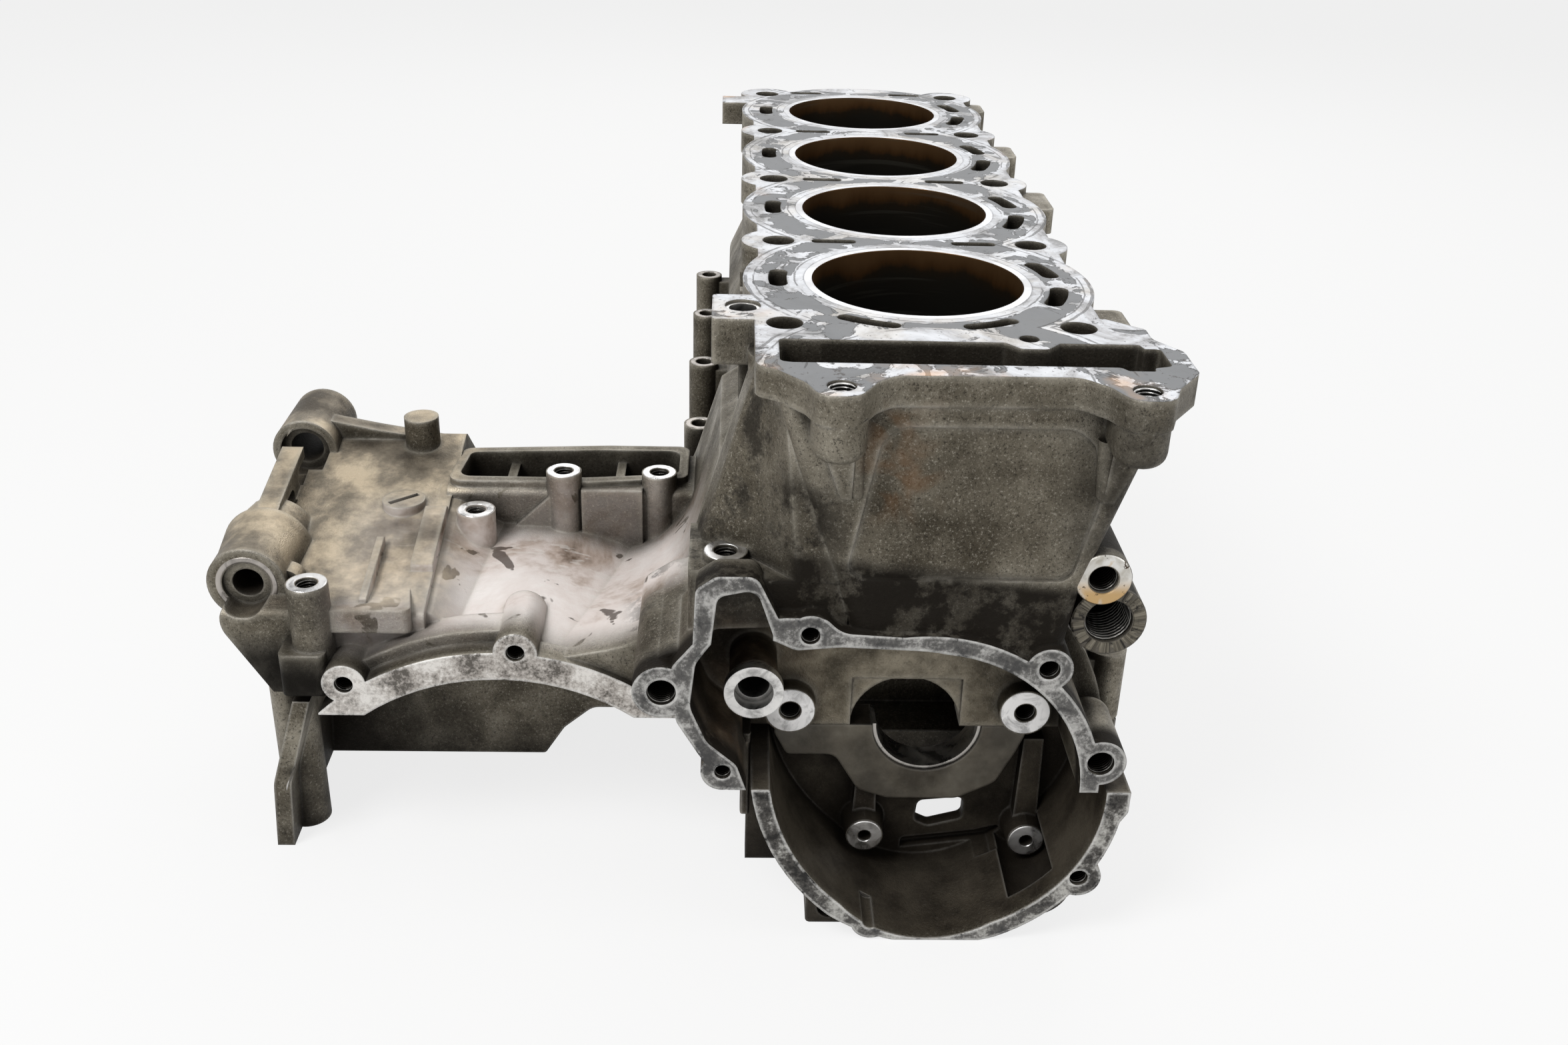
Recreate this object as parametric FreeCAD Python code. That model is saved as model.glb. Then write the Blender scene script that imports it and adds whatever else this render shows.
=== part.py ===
import FreeCAD, Part
import os
from math import cos, sin, tan, radians, sqrt, pi

# Crankcase set of a four-cylinder engine: block and upper crankcase in one casting,
# lower crankcase under it, iron liners, bearing shells and small fitted pieces.
# Origin on the crank axis at the chain-end cover face. +X points away from the
# gearbox, +Y runs along the crank to the far end, +Z points up the cylinders.
# All sizes are in millimetres.

os.makedirs("parts", exist_ok=True)
V = FreeCAD.Vector

# ---- driving sizes: cylinders ------------------------------------------------
bore = 80
bore_land = 20            # metal between two bores
cylinders = 4
liner_wall = 3
deck_z = 162.5            # deck height above the crank axis
deck_thick = 11
jacket_wall = 4           # metal between liner and water
jacket_width = 10
jacket_floor_z = 92
water_wall = 5            # outer wall of the water jacket
head_bolt_r = 6.5
head_bolt_gap = 11.5      # from the bore's edge line out to the bolt axis

# ---- driving sizes: crank and crankcase --------------------------------------
journal_r = 20            # radius inside the bearing shells
shell_wall = 1.5
crank_room_r = 69
case_wall = 7
web_thick = 14.8
front_web_y = 50          # middle of the first bearing web
split_flange = 12         # height of the bolted rim beside the split plane
pan_z = -71               # sump face, on which the set stands
lower_slide = 9           # the lower case lies slid this far towards +X
case_bolt_r = 4

# ---- driving sizes: chain tunnel ---------------------------------------------
tunnel_y = 3              # outer face of the tunnel wall
tunnel_wall = 8
tunnel_gap = 23           # chain space, front to back
tunnel_back = 8
ear_reach = 17            # how far the ears stand out before the cover face
ear_boss_r = 9
ear_hole_r = 4
insert_wall = 0.8

# ---- driving sizes: crank cover pocket ---------------------------------------
cover_room_r = 59.3
cover_rim = 7
cover_x = 1.3

# ---- driving sizes: clutch housing and gearbox -------------------------------
clutch_y = 46             # clutch cover face
clutch_x = -158.5
clutch_z = -72
clutch_room_r = 89
clutch_rim = 12
clutch_web_y = 122        # front of the web behind the clutch
clutch_web = 9
gearbox_far_y = 205
gearbox_wall = 7
lug_a_r = 15.5
lug_a_hole_r = 6
lug_b_r = 14
lug_b_hole_r = 7

# ---- worked-out sizes --------------------------------------------------------
bore_r = bore / 2
bore_pitch = bore + bore_land
liner_r = bore_r + liner_wall
web_ys = [front_web_y + i * bore_pitch for i in range(cylinders + 1)]
bore_ys = [front_web_y + (i + 0.5) * bore_pitch for i in range(cylinders)]
web_front_y = front_web_y - web_thick / 2
case_end_y = web_ys[-1] + web_thick / 2
case_r = crank_room_r + case_wall
bolt_x = bore_r + head_bolt_gap
jacket_in_r = liner_r + jacket_wall
jacket_out_r = jacket_in_r + jacket_width
barrel_r = jacket_out_r + water_wall
deck_under_z = deck_z - deck_thick
chain_front_y = tunnel_y + tunnel_wall
chain_back_y = chain_front_y + tunnel_gap
tunnel_end_y = chain_back_y + tunnel_back
housing_r = journal_r + shell_wall
liner_foot_z = sqrt(crank_room_r ** 2 - liner_r ** 2) - 4
left_bolt_x = -case_r - 8
right_bolt_x = case_r + 3


# ---- drawing helpers ---------------------------------------------------------
def to_space(plane, level):
    """Return the function that puts a flat point (u, v) into space."""
    if plane == "xy":
        return lambda u, v: V(u, v, level)
    if plane == "xz":
        return lambda u, v: V(u, level, v)
    return lambda u, v: V(level, u, v)


def push_vector(plane, length):
    if plane == "xy":
        return V(0, 0, length)
    if plane == "xz":
        return V(0, length, 0)
    return V(length, 0, 0)


def corner_cut(before, here, after):
    """Start, middle and end of the rounding at one corner of an outline."""
    point = V(here[0], here[1], 0)
    back = V(before[0], before[1], 0) - point
    ahead = V(after[0], after[1], 0) - point
    radius = here[2] if len(here) > 2 else 0
    angle = back.getAngle(ahead)
    if radius == 0 or angle > pi - 0.03:
        return point, None, point
    run = min(radius / tan(angle / 2), 0.48 * back.Length, 0.48 * ahead.Length)
    radius = run * tan(angle / 2)
    back.normalize()
    ahead.normalize()
    inward = back + ahead
    inward.normalize()
    middle = point + inward * (radius / sin(angle / 2) - radius)
    return point + back * run, middle, point + ahead * run


def outline(corners, plane, level):
    """Closed wire through corners (u, v) or (u, v, rounding radius)."""
    place = to_space(plane, level)
    count = len(corners)
    cuts = [corner_cut(corners[i - 1], corners[i], corners[(i + 1) % count]) for i in range(count)]
    edges = []
    for i in range(count):
        start, middle, end = cuts[i]
        next_start = cuts[(i + 1) % count][0]
        if middle is not None:
            arc = Part.Arc(place(start.x, start.y), place(middle.x, middle.y), place(end.x, end.y))
            edges.append(arc.toShape())
        if end.distanceToPoint(next_start) > 1e-6:
            edges.append(Part.makeLine(place(end.x, end.y), place(next_start.x, next_start.y)))
    return Part.Wire(edges)


def prism(corners, plane, low, high):
    """Outline in a plane, pushed from low to high along the plane's normal."""
    face = Part.Face(outline(corners, plane, low))
    return face.extrude(push_vector(plane, high - low))


def taper(corners_low, corners_high, plane, low, high):
    """Straight-sided solid between two outlines with equal corners."""
    wires = [outline(corners_low, plane, low), outline(corners_high, plane, high)]
    return Part.makeLoft(wires, True, True)


def rod(plane, u, v, low, high, radius):
    """Cylinder whose axis is the plane's normal through (u, v)."""
    return Part.makeCylinder(radius, high - low, to_space(plane, low)(u, v), push_vector(plane, 1))


def cone(plane, u, v, low, high, radius_low, radius_high):
    base = to_space(plane, low)(u, v)
    return Part.makeCone(radius_low, radius_high, high - low, base, push_vector(plane, 1))


def block(x0, x1, y0, y1, z0, z1):
    return Part.makeBox(x1 - x0, y1 - y0, z1 - z0, V(x0, y0, z0))


def ring(plane, u, v, low, high, inner, outer):
    return rod(plane, u, v, low, high, outer).cut(rod(plane, u, v, low, high, inner))


def joined(solids):
    """One solid from several that overlap, with faces that continue each other merged."""
    return solids[0].multiFuse(solids[1:]).removeSplitter()


def soft_edges(shape, radius, wanted):
    """Round the edges for which wanted(edge) is true."""
    edges = [edge for edge in shape.Edges if wanted(edge)]
    return shape.makeFillet(radius, edges)


def sector(x, y, inner, outer, start, end, low, high):
    """Curved slot about (x, y) with round ends, from start to end in degrees."""
    middle_r = (inner + outer) / 2
    half = (outer - inner) / 2
    margin = half / middle_r
    first = radians(start) + margin
    last = radians(end) - margin

    def at(radius, angle):
        return V(x + radius * cos(angle), y + radius * sin(angle), low)

    tip = [at(middle_r, last), at(middle_r, first)]
    tip[0] = tip[0] + V(-sin(last), cos(last), 0) * half
    tip[1] = tip[1] - V(-sin(first), cos(first), 0) * half
    middle = (first + last) / 2
    edges = [
        Part.Arc(at(outer, first), at(outer, middle), at(outer, last)).toShape(),
        Part.Arc(at(outer, last), tip[0], at(inner, last)).toShape(),
        Part.Arc(at(inner, last), at(inner, middle), at(inner, first)).toShape(),
        Part.Arc(at(inner, first), tip[1], at(outer, first)).toShape(),
    ]
    return Part.Face(Part.Wire(edges)).extrude(V(0, 0, high - low))


# ---- deck and cylinder block -------------------------------------------------
def deck_front_outline():
    """Deck over the chain tunnel, with its two ears."""
    left = -bore_r - 22
    right = bore_r + 43
    ear_y = -ear_reach
    return [
        (left, front_web_y + 10), (left, 9, 6), (-55, 5, 6), (-46, -6, 8), (-42, ear_y, 7),
        (-30, ear_y, 7), (-23, -4, 10), (-17, 1.5, 8), (43, 2.5, 8), (51, -6, 10), (56, ear_y, 7),
        (69, ear_y, 7), (73, -6, 8), (right, 8, 6), (right, 28, 5), (right - 8, 40, 6),
        (right - 8, front_web_y, 3), (right - 20, front_web_y + 10),
    ]


def deck_plate():
    low, high = deck_under_z, deck_z
    solids = [prism(deck_front_outline(), "xy", low, high)]
    solids.append(block(-barrel_r + 2, barrel_r - 1, front_web_y - 8, case_end_y - 5, low, high))
    solids += [rod("xy", 0, y, low, high, barrel_r + 4) for y in bore_ys]
    for y in web_ys[1:]:
        solids += [rod("xy", side * bolt_x, min(y, case_end_y - 12), low, high, 15) for side in (-1, 1)]
    return solids


def deck_lugs():
    """Lugs beside the deck: a deep one by the first cylinder, flat tabs further on."""
    left = -bore_r - 37
    right = bore_r + 15
    far_y = web_ys[-1]
    tabs = [prism([(left, 53, 2), (left, 80, 2), (-50, 80), (-50, 53)], "xy", deck_z - 17, deck_z)]
    tabs.append(block(left, -50, far_y - 31, far_y - 13, deck_z - 12, deck_z))
    tab_z = deck_z - 3
    for start, end, reach in ((54, 79, 18), (216, 246, 19), (314, 338, 18), (421, 443, 17)):
        y0 = front_web_y + (start - 50) / 400 * (far_y - front_web_y)
        y1 = y0 + end - start
        corners = [(50, y0), (right + reach, y0, 3), (right + reach, y1, 3), (50, y1)]
        tabs.append(prism(corners, "xy", tab_z - 11, tab_z))
    return tabs


def block_body():
    """Walls round the water jacket, with half-round bolt columns on the flanks."""
    low, high = crank_room_r - 20, deck_under_z + 1
    solids = [block(-barrel_r + 6, barrel_r - 6, tunnel_end_y - 6, case_end_y - 8, low, high)]
    solids += [rod("xy", 0, y, low, high, barrel_r) for y in bore_ys]
    for y in web_ys:
        solids += [rod("xy", side * bolt_x, y, low, high, 12.5) for side in (-1, 1)]
    for y in (front_web_y + 9, front_web_y + 33, front_web_y + 67, front_web_y + 91):
        solids.append(block(-barrel_r - 5, -barrel_r + 12, y - 2.5, y + 2.5, 80, high))
    return solids


def water_jacket():
    """Hollow round the cylinders, open only through the slots in the deck."""
    low, high = jacket_floor_z, deck_under_z
    outer = [rod("xy", 0, y, low, high, jacket_out_r) for y in bore_ys]
    inner = [rod("xy", 0, y, low, high, jacket_in_r) for y in bore_ys]
    return outer[0].multiFuse(outer[1:]).cut(inner)


def deck_slots():
    low, high = deck_under_z - 2, deck_z + 1
    inner = bore_r + 9.5
    outer = bore_r + 16.5
    slots = []
    for y in bore_ys:
        slots.append(sector(0, y, inner, outer, 168, 190, low, high))
        slots.append(sector(0, y, inner, outer, 7, 29, low, high))
        slots.append(sector(0, y, inner, outer, -30, -5, low, high))
    slots.append(sector(0, bore_ys[0], inner, outer - 1, -128, -102, low, high))
    slots.append(sector(0, bore_ys[0], inner, outer - 1, -78, -54, low, high))
    for y in web_ys[1:]:
        for x in (-29, 28):
            corners = [(x - 9, y - 2.5, 2), (x + 9, y - 2.5, 2), (x + 9, y + 2.5, 2), (x - 9, y + 2.5, 2)]
            slots.append(prism(corners, "xy", low, high))
    return slots


def head_bolt_holes():
    low = crank_room_r - 10
    holes = []
    for y in web_ys:
        for side in (-1, 1):
            holes.append(rod("xy", side * bolt_x, min(y, case_end_y - 12), low, deck_z + 1, head_bolt_r))
    holes.append(rod("xy", 32, 38, deck_under_z - 6, deck_z + 1, 3.5))
    return holes


def liner_seats():
    return [rod("xy", 0, y, 0, deck_z + 1, liner_r) for y in bore_ys]


# ---- chain tunnel ------------------------------------------------------------
def tunnel_body():
    """Housing of the cam chain, narrowing towards the crank."""
    top = deck_under_z + 1
    corners = [(-25, 58), (-33, 84, 4), (-55, top), (75, top), (53, 84, 4), (48, 50)]
    body = prism(corners, "xz", tunnel_y, tunnel_end_y)

    def upright_front(edge):
        spot = edge.CenterOfMass
        leaning = abs(spot.y - tunnel_y) < 0.01 and spot.z > 88 and spot.z < top - 1
        return leaning

    return soft_edges(body, 6, upright_front)


def tunnel_room():
    """The chain space, from the slot in the deck down to the crank cover pocket."""
    top = deck_z + 1
    slot = prism([
        (-54, chain_front_y + 2, 3), (-54, chain_back_y, 2), (23, chain_back_y, 1),
        (28, chain_back_y - 6, 3), (37, chain_back_y - 6, 3), (42, chain_back_y, 1),
        (69, chain_back_y, 1), (70, chain_back_y - 4, 1), (75.5, chain_back_y - 4, 2),
        (75.5, 14, 2), (69, 12, 2), (69, 9, 1), (60, 9, 1), (58, chain_front_y + 1, 2),
        (-50, chain_front_y + 1, 3),
    ], "xy", deck_under_z - 6, top)
    corners = [(-22, 40), (-26, 84, 4), (-47, deck_under_z - 5), (66, deck_under_z - 5), (46, 84, 4), (41, 40)]
    return [slot, prism(corners, "xz", chain_front_y, chain_back_y)]


def tunnel_panel():
    """Shallow recess in the tunnel wall, inside a raised rim."""
    corners = [
        (-30, 87, 6), (-24, 118, 20), (-20, 139, 10), (-14, 144, 8), (44, 144, 8),
        (51, 138, 8), (55, 118, 20), (48, 87, 6),
    ]
    return prism(corners, "xz", tunnel_y - 1, tunnel_y + 1.6)


def ear_bosses():
    """Round bosses under the ears, each running out into a tapered rib."""
    solids = []
    for x, lean in ((-35, 4), (62, -5)):
        centre_y = -ear_reach + ear_boss_r
        boss = rod("xy", x, centre_y, deck_z - 25, deck_under_z + 1, ear_boss_r)
        back = block(x - ear_boss_r, x + ear_boss_r, centre_y, tunnel_y + 4, deck_z - 25, deck_under_z + 1)
        boss = boss.fuse(back).removeSplitter()
        foot_z = deck_z - 25
        solids.append(soft_edges(boss, 5, lambda edge: edge.CenterOfMass.z < foot_z + 0.1
                                 and edge.CenterOfMass.y < tunnel_y + 3.9))
        low = [(x + lean - 2, tunnel_y - 1.5), (x + lean + 2, tunnel_y - 1.5), (x + lean + 2, 8), (x + lean - 2, 8)]
        high = [(x - 6, -2), (x + 6, -2), (x + 6, 8), (x - 6, 8)]
        solids.append(taper(low, high, "xy", 118, deck_z - 21))
    return solids


def ear_holes():
    centre_y = -ear_reach + ear_boss_r
    return [rod("xy", x, centre_y, deck_z - 19, deck_z + 1, ear_hole_r + insert_wall) for x in (-35, 62)]


def corner_fairing():
    """The block's corner between the tunnel and the gearbox flank."""
    low = [(-82, 50), (-80, 36, 5), (-62, 24, 8), (-46, 6), (-28, 5), (-28, 50)]
    high = [(-62, 50), (-61, 40, 5), (-57, 30, 8), (-52, 12), (-46, 8), (-28, 50)]
    column = prism([(-84, 50), (-84, 12, 6), (-72, 6, 6), (-28, 6), (-28, 50)], "xy", 30, 84)
    slope = taper(low, high, "xy", 84, deck_under_z)
    return [column, slope]


# ---- crank cover pocket ------------------------------------------------------
side_bolt_x = cover_x + cover_room_r + 6.4
COVER_BOLTS = (
    (-93, 42, 5.2, 10.5), (-71, 8, 3, 8), (-41, 66, 3.4, 8), (44, 53, 3.8, 8.5), (side_bolt_x, 13, 5, 9.5),
)


def cover_outer(low, high):
    left = [
        (-58, 0), (-70, 0, 3), (-80, 16, 12), (-88, 30, 10), (-90, 52, 8), (-82, 62, 8), (-76, 70, 4),
        (-50, 73, 6), (-36, 73, 5), (-30, 67, 10), (3, 65, 60), (27, 60, 20), (40, 40), (0, 0),
    ]
    corner = [(-82, 60), (-81, 84, 4), (-74, 89, 5), (-60, 89, 5), (-52, 72, 6), (-50, 60)]
    solids = [prism(left, "xz", low, high), prism(corner, "xz", low, low + 13)]
    disc = rod("xz", cover_x, 0, low, high, cover_room_r + cover_rim)
    solids.append(disc.common(block(-10, 100, low - 1, high + 1, 0, 100)))
    return solids


def cover_bosses(depth):
    solids = []
    for x, z, hole, boss in COVER_BOLTS:
        tube = rod("xz", x, z, 0, depth, boss)
        solids.append(tube.common(block(-200, 200, -1, depth + 1, 0, 200)))
    return solids


def cover_room():
    """Inside of the pocket: a round right side and a tall left corner."""
    left = [
        (-30, -1), (-62, -1), (-66, 11, 6), (-77, 21, 10), (-83, 36, 10), (-81, 54, 8), (-75, 63, 5),
        (-54, 64, 5), (-46, 60, 6), (-30, 61.5, 10), (4, 60, 60), (27, 53.5, 8), (27, -1),
    ]
    corner = [(-76, 58), (-73.5, 81, 4), (-60, 84, 5), (-54, 66), (-54, 58)]
    disc = rod("xz", cover_x, 0, -1, web_front_y, cover_room_r)
    half_disc = disc.common(block(-10, 90, -2, 90, -1, 90))
    return [prism(left, "xz", -1, web_front_y), prism(corner, "xz", -1, 9), half_disc]


def web_pads():
    """Round pads on the first web, cut level at the split plane, and the sleeve's boss."""
    pads = [rod("xz", side * 45.5, 11, web_front_y - 7, web_front_y + 2, 10) for side in (-1, 1)]
    pads = [pad.common(block(-90, 90, 0, 60, 0, 60)) for pad in pads]
    pads.append(rod("xz", -60, 33, 22, web_front_y + 4, 9))
    return pads


def cover_lobe():
    """Solid corner that carries the large bolt between crank cover and clutch housing."""
    corners = [(-78, 12), (-90, 33, 6), (-103, 34, 4), (-104, 46, 8), (-92, 54, 8), (-70, 60), (-70, 12)]
    lobe = prism(corners, "xz", 6, clutch_y + 30)
    return [lobe, rod("xz", -93, 42, 0, clutch_y + 10, 10.5)]


def right_bosses():
    """Oil and water unions on the right of the chain tunnel."""
    oil = rod("xz", 60, 87, 5, 45, 10)
    collar = rod("xz", 65, 68, 9, 45, 13.5)
    return [oil, collar]


# ---- upper crankcase ---------------------------------------------------------
def case_bolt_ys():
    return [front_web_y + bore_pitch * part for part in (1.5, 2.3, 3.05, 3.75)]


def crankcase_shell():
    """Half-round shell over the crank, with the bolted rim at the split plane."""
    start = web_front_y - 6
    shell = rod("xz", 0, 0, start, case_end_y, case_r).common(block(-200, 200, 0, 999, 0, 200))
    rim = prism([(-case_r - 10, start), (-case_r - 10, case_end_y - 4, 6), (case_r + 2, case_end_y - 4, 6),
                 (case_r + 2, start + 20, 6), (40, start)], "xy", 0, split_flange)
    solids = [shell, rim]
    shoulder = [(-case_r + 4, 0), (-case_r + 4, 70, 14), (-barrel_r + 2, 96), (0, 96), (0, 0)]
    solids.append(prism(shoulder, "xz", start, case_end_y - 3))
    return solids


def case_bolt_columns():
    solids = []
    for y in case_bolt_ys():
        solids.append(rod("xy", left_bolt_x, y, 0, 60, 7.5))
        solids.append(block(left_bolt_x, -case_r + 8, y - 4.5, y + 4.5, 0, 57))
    for y in web_ys:
        y = min(y + 4, case_end_y - 10)
        solids.append(rod("xy", right_bolt_x, y, 0, 30, 7.5))
        solids.append(block(case_r - 14, right_bolt_x, y - 5, y + 5, 0, 27))
    return solids


def case_bolt_holes():
    holes = [rod("xy", left_bolt_x, y, -1, 61, case_bolt_r) for y in case_bolt_ys()]
    for y in web_ys:
        y = min(y + 4, case_end_y - 10)
        holes.append(rod("xy", right_bolt_x, y, -1, 31, case_bolt_r))
    return holes


def crank_rooms(low_z, high_z):
    """The four crank chambers between the bearing webs, above or below the split."""
    rooms = []
    for y in bore_ys:
        half = (bore_pitch - web_thick) / 2
        room = rod("xz", 0, 0, y - half, y + half, crank_room_r)
        rooms.append(room.common(block(-200, 200, 0, 999, low_z, high_z)))
    return rooms


def bearing_bore():
    """Bearing housings on the crank axis, with a square step in the first web."""
    bore_rod = rod("xz", 0, 0, web_front_y - 1, case_end_y + 1, housing_r)
    step = block(-housing_r, housing_r, web_front_y - 1, web_front_y + 1.5, -1, housing_r)
    return [bore_rod, step]


# ---- clutch housing and gearbox ----------------------------------------------
def clutch_arch():
    """Cover flange over the clutch with the raised rib that runs beside it."""
    face = rod("xz", clutch_x, clutch_z, clutch_y, clutch_y + 11, clutch_room_r + clutch_rim)
    rib = ring("xz", clutch_x, clutch_z, clutch_y + 8, clutch_y + 22, clutch_room_r, clutch_room_r + clutch_rim + 5)
    above = block(clutch_x - 70, clutch_x + 76, 0, 200, 0, 60)
    return [face.common(above), rib.common(block(clutch_x - 56, clutch_x + 4, 0, 200, 0, 60))]


def clutch_barrel():
    """Vault behind the flange, growing towards the gearbox."""
    vault = cone("xz", clutch_x, clutch_z, clutch_y + 4, 150, clutch_room_r + 9, clutch_room_r + 26)
    return vault.common(block(clutch_x - 64, -60, 0, 200, 0, 90))


def clutch_bosses():
    """Flange bolt bosses: two on the arch, one at its foot beside the crank cover."""
    tubes = []
    for x, z, radius, length in ((clutch_x + 7.5, 29, 8.5, 34), (clutch_x - 59, 14, 8.5, 16), (-91, 7, 7.5, 20)):
        tube = rod("xz", x, z, clutch_y, clutch_y + length, radius)
        tubes.append(tube.common(block(-300, 0, 0, 200, 0, 90)))
    return tubes


def clutch_bolt_holes():
    spots = ((clutch_x + 7.5, 29), (clutch_x - 59, 14), (-91, 7))
    return [rod("xz", x, z, clutch_y - 1, clutch_y + 16, 3.6) for x, z in spots]


def flank_sweep():
    """Large hollow curve from the clutch vault up into the side of the block."""
    curve = [(-150, 10), (-150, 22), (-92, 34, 42), (-74, 92), (-56, 104), (-56, 10)]
    return prism(curve, "xz", clutch_y + 3, clutch_y + 133)


def roof_fairing():
    """Slope that joins the roof's edge to the clutch vault."""
    low = [(-194, 8), (-194, 37), (-186, 34), (-168, 20), (-168, 8)]
    high = [(-194, 8), (-194, 55), (-184, 53), (-156, 36), (-156, 8)]
    return taper(low, high, "xz", 66, 142)


def gearbox_shell():
    """Rear part of the top: a sloping roof between the two mounting lugs and the block."""
    side = [(62, 0), (62, 36, 3), (72, 39, 6), (178, 63, 6), (198, 46, 10), (gearbox_far_y, 0)]
    front = [(-250, 0), (-270, 34, 12), (-256, 48, 10), (-254, 90), (-188, 90), (-188, 0)]
    rear_roof = prism(side, "yz", -290, -100).common(prism(front, "xz", 60, gearbox_far_y))
    middle_side = [(134, 0), (134, 56, 3), (172, 56, 3), (192, 40, 8), (gearbox_far_y, 0)]
    middle_roof = prism(middle_side, "yz", -190, -70)
    return [rear_roof, middle_roof]


def gearbox_lugs():
    """Two round mounting lugs with a windowed rib between them."""
    front = rod("xz", -258, 43, 72, 118, lug_a_r)
    flare = cone("xz", -258, 43, 84, 104, lug_a_r, lug_a_r + 2.5).common(block(-290, -200, 0, 300, 20, 90))
    far = rod("xz", -256, 60, 162, 200, lug_b_r)
    rib = prism([(76, 30), (76, 50, 4), (110, 60, 8), (165, 70), (180, 70), (180, 40)], "yz", -262, -253)
    cheek = prism([(-273, 36, 4), (-250, 0), (-238, 0), (-238, 46, 6), (-262, 52, 8)], "xz", 76, 84)
    crest = prism([(-262, 50), (-256, 72, 8), (-226, 66, 6), (-190, 60), (-190, 50)], "xz", 172, 180)
    return [front, flare, far, rib, cheek, crest]


def gearbox_windows():
    """Two slots through the rib, seen from the block's side."""
    windows = []
    for y, z in ((122, 53), (146, 58)):
        corners = [(y - 8, z - 5, 4), (y + 8, z - 3, 4), (y + 8, z + 5, 4), (y - 8, z + 3, 4)]
        windows.append(prism(corners, "yz", -290, -252))
    return windows


def lug_holes():
    holes = [rod("xz", -258, 43, 60, 130, lug_a_hole_r), rod("xz", -256, 60, 150, 210, lug_b_hole_r)]
    holes.append(rod("xz", -258, 43, 60, 74, 9.5))
    holes.append(rod("xz", -256, 60, 150, 166, 10.5))
    return holes


def roof_pillars():
    """Standing bolt pillars: centre x, y, foot and top heights, outer radius."""
    return [
        (-231, 60, 8, 51, 8), (-140.5, 137, 30, 64, 7.5), (-100, 139, 30, 63, 7.5),
        (-176, 122, 20, 52.5, 8), (-71, 24, 60, 86.5, 8),
    ]


def roof_details():
    solids = [rod("xy", x, y, low, high, r) for x, y, low, high, r in roof_pillars()]
    ledge = [(-232, 58), (-192, 58, 3), (-196, 78), (-232, 78)]
    solids.append(prism(ledge, "xy", 30, 40))
    solids.append(prism([(-243, 50, 3), (-243, 78), (-225, 78), (-225, 50, 3)], "xy", 6, 24))
    solids.append(prism([(86, 30), (86, 46, 2), (124, 54, 2), (124, 30)], "yz", -197, -188))
    solids.append(prism([(64, 34), (64, 42, 1), (102, 50, 1), (102, 42)], "yz", -213, -210))
    solids.append(rod("xy", -207, 128, 40, 54, 9))
    solids.append(rod("xy", -206, 170, 38, 74, 7.5))
    solids.append(prism([(-140, 30), (-140, 60), (-172, 30)], "xz", 132, 137))
    solids.append(block(-133, -107, 132, 139, 30, 57))
    return solids


def breather_room():
    """Open chamber in the roof, crossed by three ribs."""
    corners = [(-186, 141, 5), (-184, 166, 4), (-124, 170, 4), (-92, 170, 5), (-92, 146, 4), (-132, 141, 4)]
    room = prism(corners, "xy", 24, 80)
    ribs = [block(x - 2, x + 2, 136, 175, 20, 53) for x in (-165, -118)]
    ribs.append(rod("xy", -140.5, 137, 20, 60, 7.5))
    ribs.append(rod("xy", -100, 139, 20, 60, 7.5))
    return room.cut(ribs)


def breather_rim():
    """Thin gasket land standing round the open chamber."""
    outer = [(-190, 136, 6), (-188, 170, 5), (-124, 175, 5), (-88, 175, 5), (-88, 142, 5), (-130, 136, 5)]
    inner = [(-186, 141, 5), (-184, 166, 4), (-124, 170, 4), (-92, 170, 5), (-92, 146, 4), (-132, 141, 4)]
    return prism(outer, "xy", 50, 59).cut(prism(inner, "xy", 49, 60))


def pillar_holes():
    """Bolt holes of the pillars, and the driver slot in the round roof pad."""
    slot = prism([(-213, 124.5), (-211.5, 122.5), (-201, 131.5), (-202.5, 133.5)], "xy", 52.4, 56)
    return [slot] + [rod("xy", x, y, max(low + 4, high - 22), high + 1, r * 0.52)
                     for x, y, low, high, r in roof_pillars()]


def clutch_room(low_z, high_z):
    """Round space that the clutch turns in, open to the front."""
    room = rod("xz", clutch_x, clutch_z, clutch_y - 1, clutch_web_y, clutch_room_r)
    return room.common(block(-300, 0, 0, 200, low_z, high_z))


def gear_room():
    """Space for the gear shafts above the split plane."""
    far = gearbox_far_y - gearbox_wall
    low_part = [(clutch_web_y + clutch_web, -1), (clutch_web_y + clutch_web, 22), (far - 4, 22), (far, -1)]
    return prism(low_part, "yz", -243, -100)


def shaft_bores():
    """Half bores of the two gear shafts in the web behind the clutch."""
    return [rod("xz", -138, 0, 100, 150, 21), rod("xz", -205, 0, 100, 150, 17)]


def web_ribs():
    """Ribs that fan out over the web behind the clutch."""
    ribs = []
    for angle in (40, 65, 90, 115, 140):
        rib = block(20, 60, clutch_web_y - 5, clutch_web_y + 1, -2, 2)
        rib.rotate(V(0, 0, 0), V(0, -1, 0), angle)
        rib.translate(V(-160, 0, -30))
        ribs.append(rib.common(rod("xz", clutch_x, clutch_z, 100, 130, clutch_room_r)).common(
            block(-300, 0, 0, 200, 0, 60)))
    return ribs


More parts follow.
